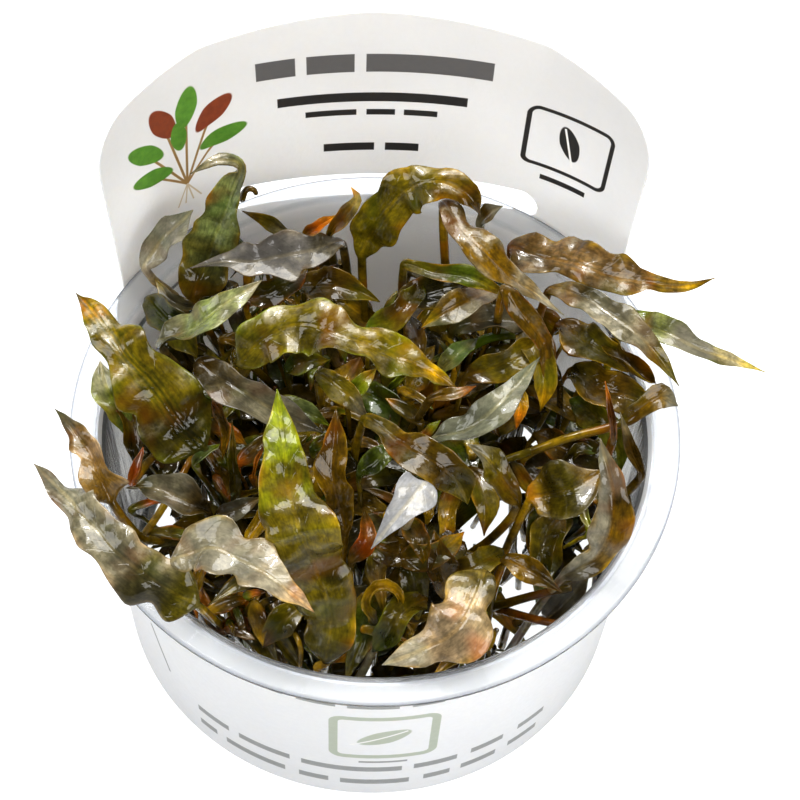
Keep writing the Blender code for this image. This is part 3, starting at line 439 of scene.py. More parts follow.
# How strongly a leaf is ribbed beside its midrib, where it isn't faintly
RIBBED = {"leaf_left_long": 1.0, "leaf_left_low": 0.4, "leaf_right_top": 0.5, "leaf_top_arch": 0.3,
          "leaf_centre_olive": 0.3, "leaf_back_tall": 0.4, "leaf_silver_triangle": 0.0}

# How much painted sheen lies on the level parts of a leaf, where it isn't little: a pale colour
# that stands in for light reflected off them
PAINTED_SHEEN = {"leaf_left_long": 0.5, "leaf_top_long": 0.6, "leaf_left_low": 0.35, "leaf_top_arch": 0.45,
        "leaf_right_top": 0.5, "leaf_right_long": 0.5, "leaf_hanging_grey": 0.5,
        "leaf_back_tall": 0.6, "leaf_fan": 0.6, "leaf_centre_green": 0.12, "leaf_centre_brown": 0.1,
        "leaf_far_right": 0.2, "leaf_small_orange": 0.1, "leaf_orange_wavy": 0.1,
        "leaf_narrow_red": 0.1, "leaf_low_brown": 0.1}

# Pressed creases right across a leaf: the part of its length and the depth in mm
CREASES = {
    "leaf_centre_green": ((0.535, 0.55), (0.565, -0.35), (0.60, 0.5)),
    "leaf_left_low": ((0.35, 0.4),),
    "leaf_top_long": ((0.42, 0.45), (0.72, 0.3)),
    "leaf_right_top": ((0.3, 0.35), (0.62, 0.4)),
    "leaf_top_arch": ((0.55, 0.4),),
    "leaf_back_tall": ((0.4, 0.4),),
    "leaf_bottom_beige": ((0.45, 0.4),),
}

# White places between the leaves in the photograph: across from and to, down from and to
GAPS = [
    (200, 218, 480, 510), (512, 545, 425, 460), (555, 600, 355, 385), (460, 500, 505, 545),
    (500, 535, 535, 555), (500, 530, 575, 600), (500, 530, 605, 640), (380, 400, 660, 675),
    (360, 375, 635, 650), (470, 505, 310, 320), (365, 400, 255, 300), (415, 465, 225, 265),
]

YOUNG_HUES = ("olive", "moss", "umber", "gold", "lime")

# Loose stalks seen between the leaves: radius, hue, and places (across, down, height)
STALKS = [
    (1.0, "lime", [(440, 372, 44), (463, 352, 52), (486, 339, 56), (508, 335, 56), (530, 338, 50)]),
    (0.9, "umber", [(470, 612, 26), (497, 606, 36), (540, 594, 44), (572, 588, 46)]),
    (0.9, "rust", [(462, 590, 24), (497, 608, 34), (530, 618, 42), (566, 626, 46)]),
    (0.8, "olive", [(430, 480, 30), (470, 470, 42), (520, 455, 50), (575, 436, 52),
                    (600, 424, 50)]),
    (0.8, "gold", [(190, 404, 38), (214, 425, 44), (232, 455, 40), (236, 490, 30)]),
    (0.7, "gold", [(140, 540, 40), (160, 512, 48), (186, 468, 50), (200, 440, 46)]),
    (0.8, "lime", [(410, 550, 26), (440, 560, 34), (470, 584, 36), (500, 590, 32)]),
    (0.7, "umber", [(540, 350, 54), (556, 370, 54), (560, 400, 48), (556, 440, 38)]),
    (0.7, "rust", [(570, 340, 50), (590, 352, 54), (604, 380, 52), (606, 420, 44)]),
    (0.6, "olive", [(228, 505, 36), (218, 480, 42), (210, 462, 46)]),
    (0.6, "umber", [(242, 199, 72), (246, 190, 76), (252, 189, 77), (256, 193, 75)]),
    (0.5, "gold", [(292, 630, 44), (298, 640, 46), (301, 652, 45), (300, 666, 42)]),
]

# Small leaves seen between the large ones: hues, fold, and places (across, down, height, half
# width)
SEEN_LEAVES = [
    (("olive", "gold", "gold", "gold"), 30,
     [(374, 622, 46, 0), (366, 602, 50, 1.5), (380, 588, 53, 1.8), (397, 594, 52, 1.3),
      (400, 612, 48, 0)]),
    (("gold", "amber", "gold", "straw"), 20,
     [(306, 236, 60, 0), (320, 226, 63, 1.7), (338, 215, 63, 0)]),
    (("dark", "olive", "umber", "olive"), 24,
     [(236, 502, 46, 0), (234, 465, 52, 1.6), (232, 420, 57, 0)]),
    (("rust", "amber", "rust", "amber"), 30,
     [(253, 478, 50, 0), (257, 462, 54, 1.0), (265, 444, 56, 0)]),
    (("umber", "grey", "sage", "grey"), 14,
     [(218, 518, 50, 0), (238, 508, 53, 2.0), (262, 497, 52, 0)]),
    (("moss", "moss", "sage", "lime"), 16,
     [(360, 474, 54, 0), (378, 458, 58, 2.2), (398, 444, 57, 0)]),
    (("olive", "lime", "gold", "straw"), 18,
     [(348, 398, 56, 0), (360, 384, 60, 1.9), (377, 368, 59, 0)]),
    (("umber", "sage", "grey", "lime"), 14,
     [(440, 372, 56, 0), (458, 354, 60, 2.2), (478, 338, 58, 0)]),
    (("lime", "sage", "lime", "cream"), 30,
     [(196, 466, 52, 0), (206, 454, 56, 1.4), (220, 444, 54, 0)]),
    (("olive", "umber", "gold", "amber"), 16,
     [(404, 520, 52, 0), (420, 540, 55, 2.2), (428, 572, 51, 0)]),
    (("umber", "olive", "umber", "gold"), 16,
     [(470, 470, 52, 0), (486, 500, 54, 2.4), (484, 536, 49, 0)]),
    (("moss", "olive", "lime", "lime"), 20,
     [(288, 372, 52, 0), (304, 362, 56, 2.2), (330, 360, 54, 0)]),
    (("gold", "olive", "gold", "amber"), 22,
     [(440, 300, 52, 0), (424, 318, 55, 1.8), (412, 340, 52, 0)]),
    (("umber", "olive", "sage", "gold"), 20,
     [(560, 470, 46, 0), (578, 452, 50, 1.8), (600, 452, 49, 0)]),
    (("olive", "gold", "amber", "straw"), 24,
     [(505, 380, 50, 0), (520, 402, 54, 1.8), (516, 430, 50, 0)]),
    (("dark", "umber", "dark", "olive"), 20,
     [(408, 320, 54, 0), (420, 346, 58, 2.0), (416, 376, 55, 0)]),
    (("rust", "umber", "gold", "amber"), 26,
     [(214, 404, 50, 0), (226, 430, 53, 1.6), (222, 460, 49, 0)]),
    (("umber", "rust", "umber", "amber"), 16,
     [(352, 560, 50, 0), (366, 540, 54, 2.0), (364, 508, 52, 0)]),
    (("umber", "bronze", "olive", "gold"), 14,
     [(558, 326, 56, 0), (584, 340, 59, 3.4), (612, 358, 59, 3.0), (642, 372, 56, 0)]),
    (("bronze", "umber", "bronze", "gold"), 12,
     [(570, 372, 50, 0), (600, 388, 54, 3.8), (632, 398, 55, 3.0), (658, 408, 53, 0)]),
    (("umber", "olive", "gold", "gold"), 18,
     [(520, 326, 57, 0), (536, 350, 60, 3.0), (545, 382, 57, 2.2), (540, 412, 52, 0)]),
    (("moss", "olive", "lime", "lime"), 14,
     [(572, 402, 46, 0), (598, 420, 50, 3.2), (616, 446, 50, 2.4), (620, 474, 46, 0)]),
    (("umber", "umber", "bronze", "amber"), 12,
     [(536, 436, 46, 0), (568, 450, 49, 3.0), (596, 458, 49, 2.8), (618, 456, 47, 0)]),
    (("bronze", "olive", "umber", "gold"), 14,
     [(466, 378, 56, 0), (498, 366, 59, 3.0), (530, 352, 60, 2.6), (554, 344, 58, 0)]),
    (("umber", "grey", "umber", "olive"), 12,
     [(452, 332, 56, 0), (480, 322, 60, 3.2), (510, 320, 60, 2.8), (538, 330, 58, 0)]),
    (("bronze", "bronze", "umber", "gold"), 16,
     [(398, 304, 58, 0), (424, 292, 61, 3.0), (452, 286, 61, 2.6), (476, 282, 59, 0)]),
    (("moss", "olive", "bronze", "lime"), 16,
     [(368, 332, 58, 0), (392, 318, 61, 2.6), (412, 300, 62, 2.4), (420, 280, 60, 0)]),
    (("bronze", "umber", "olive", "gold"), 14,
     [(298, 290, 58, 0), (325, 284, 62, 3.2), (352, 290, 62, 2.6), (380, 302, 60, 0)]),
    (("umber", "bronze", "olive", "amber"), 14,
     [(246, 302, 58, 0), (270, 292, 61, 2.8), (292, 280, 62, 2.4), (308, 266, 61, 0)]),
    (("bronze", "moss", "olive", "gold"), 18,
     [(148, 300, 54, 0), (168, 320, 57, 3.2), (184, 338, 57, 2.8), (198, 358, 55, 0)]),
    (("umber", "bronze", "umber", "amber"), 14,
     [(592, 478, 44, 0), (612, 498, 47, 2.8), (622, 524, 48, 2.4), (626, 548, 46, 0)]),
    (("bronze", "umber", "olive", "gold"), 14,
     [(584, 562, 42, 0), (602, 550, 46, 2.8), (618, 540, 47, 2.2), (629, 526, 46, 0)]),
    (("umber", "olive", "bronze", "gold"), 14,
     [(560, 516, 47, 0), (546, 538, 50, 3.0), (541, 562, 50, 2.6), (548, 586, 47, 0)]),
    (("bronze", "olive", "umber", "gold"), 14,
     [(500, 552, 46, 0), (484, 562, 50, 2.8), (466, 570, 51, 2.4), (446, 574, 49, 0)]),
    (("umber", "olive", "moss", "lime"), 16,
     [(424, 600, 46, 0), (402, 614, 50, 3.0), (386, 636, 48, 2.6), (372, 652, 45, 0)]),
    (("bronze", "umber", "bronze", "gold"), 16,
     [(120, 380, 50, 0), (128, 410, 54, 2.6), (134, 440, 53, 2.0), (136, 468, 50, 0)]),
    (("umber", "olive", "gold", "amber"), 16,
     [(400, 560, 50, 0), (424, 556, 53, 2.8), (446, 548, 53, 2.2), (464, 532, 51, 0)]),
]

# Crowded shoots: left, right, top and bottom of their patch in the photograph, lowest and highest
# in mm, how many, and their hues
SHOOTS = [
    (186, 262, 572, 642, 40, 49, 30, ("rust", "umber", "amber", "lime", "gold", "umber")),
    (262, 400, 560, 662, 34, 46, 26, ("umber", "gold", "olive", "lime", "dark")),
    (400, 560, 540, 650, 28, 44, 40, ("umber", "olive", "gold", "lime", "dark", "umber")),
    (470, 620, 350, 520, 36, 50, 36, ("olive", "umber", "lime", "gold", "dark")),
    (150, 260, 380, 560, 36, 50, 26, ("olive", "lime", "umber", "amber", "moss")),
    (300, 480, 360, 540, 40, 54, 44, ("olive", "lime", "umber", "gold", "moss", "rust")),
    (240, 480, 250, 370, 42, 58, 40, ("umber", "olive", "gold", "dark", "moss")),
    (130, 250, 230, 370, 40, 52, 26, ("dark", "umber", "olive", "moss")),
    (470, 600, 250, 360, 42, 56, 28, ("umber", "olive", "dark", "gold")),
]


def smooth(value):
    """Ease from 0 to 1 as the value goes from 0 to 1."""
    value = min(1.0, max(0.0, value))
    return value * value * (3 - 2 * value)


def view_axes():
    """The view's backward, rightward and upward directions, and the eye's place."""
    back = Vector((0, -cos(VIEW_ELEVATION), sin(VIEW_ELEVATION)))
    level = Vector((1, 0, 0))
    rise = Vector((0, sin(VIEW_ELEVATION), cos(VIEW_ELEVATION)))
    right = level * cos(VIEW_ROLL) + rise * sin(VIEW_ROLL)
    up = rise * cos(VIEW_ROLL) - level * sin(VIEW_ROLL)
    return back, right, up, VIEW_TARGET + back * VIEW_DISTANCE


def sight(across, down, height):
    """The point at a height (mm) that shows at a place in the photograph."""
    back, right, up, eye = view_axes()
    ray = right * (across - VIEW_CENTRE) + up * (VIEW_CENTRE - down) - back * VIEW_LENS
    return eye + ray * ((height - eye.z) / ray.z)


def seen_at(point):
    """Where a point (mm) shows in the photograph."""
    back, right, up, eye = view_axes()
    ray = point - eye
    depth = -ray.dot(back)
    return (VIEW_CENTRE + VIEW_LENS * ray.dot(right) / depth,
            VIEW_CENTRE - VIEW_LENS * ray.dot(up) / depth)


# Meshes

def finish_mesh(name, shape, paint, nodes=()):
    """Make a bmesh in millimetres an object in metres that rides on the part."""
    bmesh.ops.scale(shape, verts=shape.verts, vec=(MM, MM, MM))
    mesh = bpy.data.meshes.new(name)
    shape.to_mesh(mesh)
    shape.free()
    mesh.shade_smooth()
    mesh.materials.append(paint)
    thing = bpy.data.objects.new(name, mesh)
    bpy.context.scene.collection.objects.link(thing)
    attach(thing, "root")
    if nodes:
        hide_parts(*nodes)
    return thing


def spin_profile(shape, profile, sides):
    """Turn a profile of (radius, height) round the Z axis into a closed solid."""
    verts = [shape.verts.new((radius, 0, height)) for radius, height in profile]
    edges = [shape.edges.new(pair) for pair in zip(verts, verts[1:])]
    bmesh.ops.spin(shape, geom=verts + edges, cent=(0, 0, 0), axis=(0, 0, 1), angle=tau,
                   steps=sides, use_merge=True)
    bmesh.ops.remove_doubles(shape, verts=shape.verts, dist=0.001)
    bmesh.ops.recalc_face_normals(shape, faces=shape.faces)


# Leaves

def curve_points(points, steps):
    """A smooth curve through some points, as many short steps."""
    run = []
    count = len(points)
    for i in range(count - 1):
        here, there = points[i], points[i + 1]
        before = points[max(i - 1, 0)]
        after = points[min(i + 2, count - 1)]
        span = (there - here).length
        leave = (there - before).normalized() * span / 3
        arrive = (after - here).normalized() * span / 3
        part = interpolate_bezier(here, here + leave, there - arrive, there, steps)
        run += part if i == 0 else part[1:]
    return run


def along(run, fractions):
    """Points and directions at fractions of a run's length."""
    lengths = [0.0]
    for a, b in zip(run, run[1:]):
        lengths.append(lengths[-1] + (b - a).length)
    found = []
    for fraction in fractions:
        target = fraction * lengths[-1]
        i = next((k for k in range(1, len(run)) if lengths[k] >= target - 1e-9), len(run) - 1)
        step = lengths[i] - lengths[i - 1]
        part = (target - lengths[i - 1]) / step if step else 0
        point = run[i - 1].lerp(run[i], part)
        ahead = run[min(i + 2, len(run) - 1)]
        behind = run[max(i - 3, 0)]
        found.append((point, (ahead - behind).normalized()))
    return found


def half_width(parts, widths, part):
    """Half width at a part of the blade's length: a round base, eased between, a pointed tip."""
    if part <= 0 or part >= 1:
        return 0.0
    i = next(k for k in range(1, len(parts)) if parts[k] >= part)
    share = (part - parts[i - 1]) / (parts[i] - parts[i - 1])
    if i == 1:
        return widths[1] * sin(share * pi / 2) ** 0.8
    if i == len(parts) - 1:
        return widths[i - 1] * (1 - share)
    return widths[i - 1] + (widths[i] - widths[i - 1]) * smooth(share)


def leaf_frames(stations, lie):
    """A sideways and a facing direction at each station, turned towards the view or lying level."""
    view = view_axes()[0].lerp(Vector((0, 0, 1)), lie).normalized()
    frames = []
    sideways = None
    for point, ahead in reversed(stations):
        fresh = view.cross(ahead)
        if sideways is None:
            sideways = fresh.normalized()
        else:
            kept = (sideways - ahead * sideways.dot(ahead)).normalized()
            trust = smooth((fresh.length - 0.2) / 0.4)
            if fresh.dot(kept) < 0:
                trust = 0.0
            sideways = (kept * (1 - trust) + fresh.normalized() * trust).normalized()
            sideways = (sideways - ahead * sideways.dot(ahead)).normalized()
        frames.append((point, ahead, sideways, ahead.cross(sideways)))
    return frames[::-1]


def leaf_start(name):
    """Where a leaf's stalk leaves its crown: an own place on a collar round it."""
    crown = LEAVES[name][1]
    x, y = CROWNS[crown]
    mates = [other for other in LEAVES if LEAVES[other][1] == crown]
    bearings = {}
    for other in mates:
        first = (LEAVES[other][4] + LEAVES[other][5])[0]
        base = sight(*first[:3])
        bearings[other] = Vector((base.x - x, base.y - y)).angle_signed(Vector((0, 1))) % tau
    order = sorted(mates, key=lambda other: bearings[other])
    shift = sum(bearings[other] - i * tau / len(order) for i, other in enumerate(order))
    turn = shift / len(order) + order.index(name) * tau / len(order)
    out = Vector((-sin(turn), cos(turn), 0))
    foot = Vector((x, y, STALK_FOOT)) + out * COLLAR_RADIUS
    return [foot, foot + out, foot + out + Vector((0, 0, STALK_RISE))][::2]


def leaf_point(frame, part, across, through, half, fold, wave, arc, phase, curl, ragged, creases):
    """Where a point of the unit cylinder goes on a leaf."""
    point, _, sideways, facing = frame
    share = min(1.0, half / FULL_WAVE_WIDTH)
    side = 1 if across > 0 else -1
    open_up = smooth(part / 0.15)
    swell = sin(tau * arc / 11.0 + phase * side) + 0.6 * sin(tau * arc / 5.7 + 2 * phase + side)
    half = (STALK_RADIUS ** 2 * (1 - smooth(part * 3)) + half ** 2) ** 0.5
    half = max(half * (1 + ragged * share * open_up * swell), TIP_HALF)
    depth = STALK_RADIUS + (BLADE_HALF - STALK_RADIUS) * smooth(part / 0.2)
    depth = depth + (TIP_HALF - depth) * smooth((part - 0.7) / 0.3)
    bend = radians(fold) * open_up * (1 + 0.9 * sin(arc * 0.24 + 2 * phase + 0.8 * side))
    turn = open_up * (curl[0 if side > 0 else 1] + 0.35 * sin(arc * 0.33 + phase + side))
    turn = turn if abs(turn) > 0.02 else 0.02
    reach = abs(across) * half
    slope = bend + turn * abs(across)
    flat = half * (sin(slope) - sin(bend)) / turn
    high = half * (cos(bend) - cos(slope)) / turn
    rim = abs(across) ** 2 * share * open_up
    ripple = wave * rim * sin(tau * WAVES * part + side)
    ripple += wave * rim * 1.1 * sin(tau * arc / WAVE_LENGTH + phase + 1.3 * side)
    ripple += wave * rim * 0.4 * sin(tau * arc / RUFFLE_LENGTH + 2 * phase + side)
    belly = share * open_up * sin(pi * abs(across))
    ripple += QUILT * belly * sin(arc * QUILT_RATE + phase * side)
    ripple += FINE_QUILT * belly * sin(arc * FINE_QUILT_RATE + 3 * phase * side)
    ripple += SWAY * share * open_up * sin(arc * SWAY_RATE + phase)
    for crease, deep in creases:
        ripple -= deep * exp(-((part - crease) * CREASE_SHARPNESS) ** 2) * (1 - 0.2 * across)
    groove = -GROOVE * share * open_up * max(0.0, 1 - reach / GROOVE_HALF)
    roll = ROLL * open_up * sin(arc * ROLL_RATE + 1.7 * phase)
    level = sideways * cos(roll) + facing * sin(roll)
    lift = facing * cos(roll) - sideways * sin(roll)
    skin = lift * cos(slope) - level * (side * sin(slope))
    out = level * (side * flat) + lift * high + skin * (ripple + groove)
    return point + out + skin * (through * depth)


def mix_hues(a, b, share):
    """A colour between two others."""
    return tuple(p + (q - p) * share for p, q in zip(a, b))


def leaf_hue(hues, part, across, arc, phase):
    """A leaf's colour at a part of its length and a share of its half width."""
    base, middle, tip, edge = (HUES[hue] for hue in hues[:4])
    if part < 0:
        return mix_hues(base, HUES["gold"], 0.5)
    wander = 0.08 * sin(arc * 0.9 + phase)
    hue = mix_hues(base, middle, smooth((part + wander) / 0.5))
    hue = mix_hues(hue, tip, smooth((part + wander - 0.55) / 0.4))
    # A fifth hue covers one half of the blade; a silver or grey one there is painted sheen
    if len(hues) > 4:
        hue = mix_hues(hue, HUES[hues[4]], 0.85 * smooth((across - 0.05 + wander) / 0.3))
    rim = smooth((abs(across) - 0.78 + wander) / 0.22)
    return mix_hues(hue, edge, 0.65 * rim * (0.6 + 0.4 * sin(arc * 0.8 + 2 * phase)))


def leaf_shape(stalk_points, blade_points, left, right, fold, wave, hues, sides, spacing, phase,
               stalk_size=1.0, lie=0.3, curl=(0.2, 0.2), ragged=0.09, creases=(), ribbed=0.12,
               painted_sheen=0.15):
    """A bmesh of one leaf: a round stalk that flattens into a folded, waved blade."""
    steps = CURVE_STEPS
    run = curve_points(stalk_points + blade_points, steps)
    first = (steps - 1) * len(stalk_points)
    stalk_run, blade_run = run[:first + 1], run[first:]
    lengths = [0.0]
    for here, there in zip(blade_run, blade_run[1:]):
        lengths.append(lengths[-1] + (there - here).length)
    total = lengths[-1]
    stalk_length = sum((b - a).length for a, b in zip(stalk_run, stalk_run[1:]))
    knots = [lengths[(steps - 1) * i] / total for i in range(len(blade_points))]
    cuts = max(14, round(total / spacing))
    stalk_cuts = max(5, round(stalk_length / STALK_SPACING))
    stalk_parts = [i / stalk_cuts for i in range(stalk_cuts)]
    blade_parts = [(i / cuts) * (0.55 + 0.45 * i / cuts) for i in range(cuts // 3)]
    rest = cuts - len(blade_parts)
    start = blade_parts[-1]
    blade_parts += [start + (1 - start) * (i + 1) / rest for i in range(rest)]
    frames = leaf_frames(along(stalk_run, stalk_parts) + along(blade_run, blade_parts), lie)
    parts = [part - 1 for part in stalk_parts] + blade_parts
    shape = bmesh.new()
    tint, blade, sheen, ridge = leaf_layers(shape)
    bmesh.ops.create_cone(shape, cap_ends=True, segments=sides, radius1=1, radius2=1, depth=1,
                          matrix=Matrix.Translation((0, 0, 0.5)))
    uprights = [edge for edge in shape.edges if abs(edge.verts[0].co.z - edge.verts[1].co.z) > 0.5]
    bmesh.ops.subdivide_edges(shape, edges=uprights, cuts=len(parts) - 2, use_grid_fill=True)
    for vert in shape.verts:
        i = round(vert.co.z * (len(parts) - 1))
        across, through = vert.co.x, vert.co.y
        part = parts[i]
        half = half_width(knots, left if across > 0 else right, part)
        arc = max(0.0, part) * total
        hue = leaf_hue(hues, part, across, arc, phase)
        vert[tint] = (*hue, smooth((1 - min(hue) / max(hue)) / 0.9))
        vert[blade] = (across * max(half, STALK_RADIUS), arc if part >= 0 else ON_STALK,
                       abs(across))
        vert.co = leaf_point(frames[i], part, across, through, half, fold, wave, arc, phase,
                             curl, ragged, creases)
        vert[ridge] = ribbed
        if part < 0 and stalk_size != 1.0:
            vert.co = frames[i][0] + (vert.co - frames[i][0]) * stalk_size
    # Painted sheen: the level, upward-facing parts of the blade get a pale colour in place of the
    # light they reflect
    shape.normal_update()
    for vert in shape.verts:
        level = smooth((vert.normal.z - SHEEN_START) / (1 - SHEEN_START))
        vert[sheen] = painted_sheen * level if vert[blade].y > 0 else 0.0
    return shape


def leaf_layers(shape):
    """The data that the leaf material reads: tint, place on the blade, painted sheen and ribs."""
    layers = shape.verts.layers
    return (layers.float_color.new("tint"), layers.float_vector.new("blade"),
            layers.float.new("sheen"), layers.float.new("ribbed"))


def name_phase(name):
    """A leaf's own shift of its waves, from the letters of its name."""
    return sum(ord(letter) for letter in name) * 0.37 % tau


def build_leaf(name, paint):
    """One of the leaves that are solids of their own."""
    tint, _, fold, wave, stalk, blade = LEAVES[name]
    points = leaf_start(name) + [sight(*place) for place in stalk]
    shape = leaf_shape(points, [sight(*place[:3]) for place in blade],
                       [place[3] for place in blade], [place[4] for place in blade],
                       fold, wave, LEAF_HUES[name], BLADE_SIDES, BLADE_SPACING, name_phase(name),
                       lie=0.95 if tint in ("silver", "pale") else 0.25,
                       curl=CURLS.get(name, (0.25, 0.25)), ragged=RAGGED.get(name, 0.09),
                       creases=CREASES.get(name, ()), ribbed=RIBBED.get(name, 0.15),
                       painted_sheen=PAINTED_SHEEN.get(name, 0.3))
    finish_mesh(name.replace("leaf_", "fine_leaf_"), shape, paint, [name])


def add_shape(target, shape):
    """Join one bmesh into another that has the same layers."""
    mesh = bpy.data.meshes.new("part")
    shape.to_mesh(mesh)
    shape.free()
    target.from_mesh(mesh)
    bpy.data.meshes.remove(mesh)


def leaf_bin():
    """An empty bmesh with a leaf's layers."""
    target = bmesh.new()
    leaf_layers(target)
    return target


def in_gap(points, margin):
    """Whether one of the points shows in a white place of the photograph, or near it."""
    for point in points:
        across, down = seen_at(point)
        for left, right, top, bottom in GAPS:
            if left - margin < across < right + margin and top - margin < down < bottom + margin:
                return True
    return False


def build_understorey(paint):
    """The small crowded leaves below the large ones, which fill the cup from its crowns up."""
    dice = random.Random(11)
    layers = [
        (44, 14, 24, 0, 40, 1.0, ("olive", "umber", "olive", "moss", "gold")),
        (76, 24, 36, 6, 40, 1.1, ("umber", "olive", "dark", "moss", "olive", "moss")),
        (90, 36, 50, 4, 39, 1.1, ("olive", "umber", "gold", "dark", "moss", "umber", "olive")),
    ]
    for layer, (count, low, high, inner, outer, size, hues) in enumerate(layers):
        target = leaf_bin()
        made = 0
        for _ in range(count * 6):
            if made == count:
                break
            turn = dice.uniform(0, tau)
            radius = outer - (outer - inner) * dice.random() ** 1.6
            height = dice.uniform(low, high)
            heading = turn + dice.uniform(-1.3, 1.3)
            reach = dice.uniform(10.0, 20.0)
            out = Vector((cos(heading), sin(heading), 0))
            middle = Vector((radius * cos(turn), radius * sin(turn), height))
            lift = dice.uniform(0.0, 5.0)
            base = middle - out * reach * 0.5 - Vector((0, 0, lift))
            tip = middle + out * reach * 0.5 - Vector((0, 0, dice.uniform(-3.0, 4.0)))
            far = max(base.xy.length, tip.xy.length)
            if far > SMALL_LEAF_REACH or in_gap([base, middle, tip], 3):
                continue
            foot = Vector((base.x * 0.8, base.y * 0.8, STALK_FOOT)) + Vector(
                (dice.uniform(-3, 3), dice.uniform(-3, 3), 0))
            mid_stalk = foot.lerp(base, 0.5) + Vector((dice.uniform(-2, 2), dice.uniform(-2, 2), 2))
            if in_gap([mid_stalk, foot.lerp(base, 0.75)], 1):
                continue
            wide = dice.uniform(1.6, 3.6) * size
            widths = [0, wide, wide * dice.uniform(0.8, 1.1), wide * 0.5, 0]
            places = curve_points([base, middle + Vector((0, 0, 1)), tip], 5)[::2]
            hue = dice.choice(hues)
            other = dice.choice(hues)
            shape = leaf_shape([foot, mid_stalk], places, widths, widths, dice.uniform(6, 26),
                               dice.uniform(0.3, 0.8), (hue, other, hue, dice.choice(hues)),
                               12, 1.3, dice.uniform(0, tau), dice.uniform(0.5, 0.9))
            add_shape(target, shape)
            made += 1
        finish_mesh("small_leaves_" + ("low", "middle", "high")[layer], target, paint)


def build_seen_leaves(paint):
    """The small leaves and crowded shoots that show between the large leaves."""
    dice = random.Random(23)
    target = leaf_bin()
    for hues, fold, places in SEEN_LEAVES:
        blade = [sight(*place[:3]) for place in places]
        foot = Vector((blade[0].x * 0.85, blade[0].y * 0.85, blade[0].z - 18))
        widths = [place[3] for place in places]
        shape = leaf_shape([foot, foot.lerp(blade[0], 0.6)], blade, widths, widths, fold, 0.4, hues,
                           16, 0.9, dice.uniform(0, tau), 0.6, 0.3, (0.5, 0.5))
        add_shape(target, shape)
    finish_mesh("small_leaves_seen", target, paint)
    target = leaf_bin()
    for left, right, top, bottom, low, high, count, hues in SHOOTS:
        for _ in range(count):
            middle = sight(dice.uniform(left, right), dice.uniform(top, bottom),
                           dice.uniform(low, high))
            heading = dice.uniform(0, tau)
            out = Vector((cos(heading), sin(heading), dice.uniform(-0.3, 0.7))).normalized()
            length = dice.uniform(3.0, 9.5)
            base, tip = middle - out * length / 2, middle + out * length / 2
            foot = base - Vector((base.x * 0.1, base.y * 0.1, dice.uniform(8, 18)))
            far = max(base.xy.length, tip.xy.length)
            if far > SHOOT_REACH or in_gap([base, middle, tip, foot], 2):
                continue
            wide = length * dice.uniform(0.10, 0.24)
            widths = [0, wide, wide * 0.8, 0]
            places = [base, base.lerp(tip, 0.35) + Vector((0, 0, 0.6)),
                      base.lerp(tip, 0.7) + Vector((0, 0, 0.5)), tip]
            roll = dice.uniform(-1.2, 1.8)
            shape = leaf_shape([foot, foot.lerp(base, 0.6)], places, widths, widths,
                               dice.uniform(4, 30), 0.3, [dice.choice(hues) for _ in range(4)],
                               10, 0.9, dice.uniform(0, tau), 0.5, dice.uniform(0, 0.6),
                               (roll, roll))
            add_shape(target, shape)
    finish_mesh("crowded_shoots", target, paint)


def tube_shape(points, radius, hue, sides=8):
    """A bmesh of a stalk along some points, thinner to its end."""
    run = curve_points(points, 10)
    stations = [run[0], *run[2:-1:2], run[-1]]
    shape = leaf_bin()
    tint = shape.verts.layers.float_color["tint"]
    blade = shape.verts.layers.float_vector["blade"]
    bmesh.ops.create_cone(shape, cap_ends=True, segments=sides, radius1=1, radius2=1, depth=1,
                          matrix=Matrix.Translation((0, 0, 0.5)))
    uprights = [edge for edge in shape.edges if abs(edge.verts[0].co.z - edge.verts[1].co.z) > 0.5]
    bmesh.ops.subdivide_edges(shape, edges=uprights, cuts=len(stations) - 2, use_grid_fill=True)
    side = Vector((0.3, 0.2, 0.9))
    for vert in shape.verts:
        i = round(vert.co.z * (len(stations) - 1))
        ahead = (stations[min(i + 1, len(stations) - 1)] - stations[max(i - 1, 0)]).normalized()
        first = ahead.cross(side).normalized()
        second = ahead.cross(first)
        size = radius * (1 - 0.3 * i / len(stations))
        vert[tint] = (*hue, 1)
        vert[blade] = (0, ON_STALK, 0)
        vert.co = stations[i] + (first * vert.co.x + second * vert.co.y) * size
    bmesh.ops.recalc_face_normals(shape, faces=shape.faces)
    return shape


def build_stalks(paint):
    """Loose stalks between the leaves, and pale roots in the gel."""
    target = leaf_bin()
    for radius, hue, places in STALKS:
        add_shape(target, tube_shape([sight(*place) for place in places], radius, HUES[hue]))
    dice = random.Random(5)
    for _ in range(46):
        turn, radius = dice.uniform(0, tau), dice.uniform(6, 36)
        foot = Vector((radius * cos(turn), radius * sin(turn), STALK_FOOT - 1))
        lean = Vector((cos(turn), sin(turn), 0)) * dice.uniform(-4, 5)
        top = foot + lean + Vector((dice.uniform(-5, 5), dice.uniform(-5, 5), dice.uniform(20, 36)))
        middle = foot.lerp(top, 0.5) + Vector((dice.uniform(-3, 3), dice.uniform(-3, 3), 0))
        steps = [foot.lerp(middle, 0.5), middle, middle.lerp(top, 0.5), top]
        if top.xy.length > STALK_REACH or in_gap(steps, 2):
            continue
        hue = HUES[dice.choice(("gold", "olive", "umber", "rust", "lime"))]
        add_shape(target, tube_shape([foot, middle, top], dice.uniform(0.4, 0.75), hue, 6))
    finish_mesh("loose_stalks", target, paint)
    roots = leaf_bin()
    for _ in range(60):
        turn, radius = dice.uniform(0, tau), dice.uniform(4, 36)
        foot = Vector((radius * cos(turn), radius * sin(turn), GEL_TOP + 0.6))
        points = [foot]
        heading = dice.uniform(0, tau)
        for _ in range(4):
            heading += dice.uniform(-0.9, 0.9)
            stride = Vector((cos(heading), sin(heading), 0)) * dice.uniform(2, 4)
            points.append(points[-1] + stride + Vector((0, 0, dice.uniform(-0.2, 0.5))))
        if max(point.xy.length for point in points) > ROOT_REACH:
            continue
        add_shape(roots, tube_shape(points, dice.uniform(0.15, 0.3), HUES["cream"], 5))
    finish_mesh("pale_roots", roots, paint)


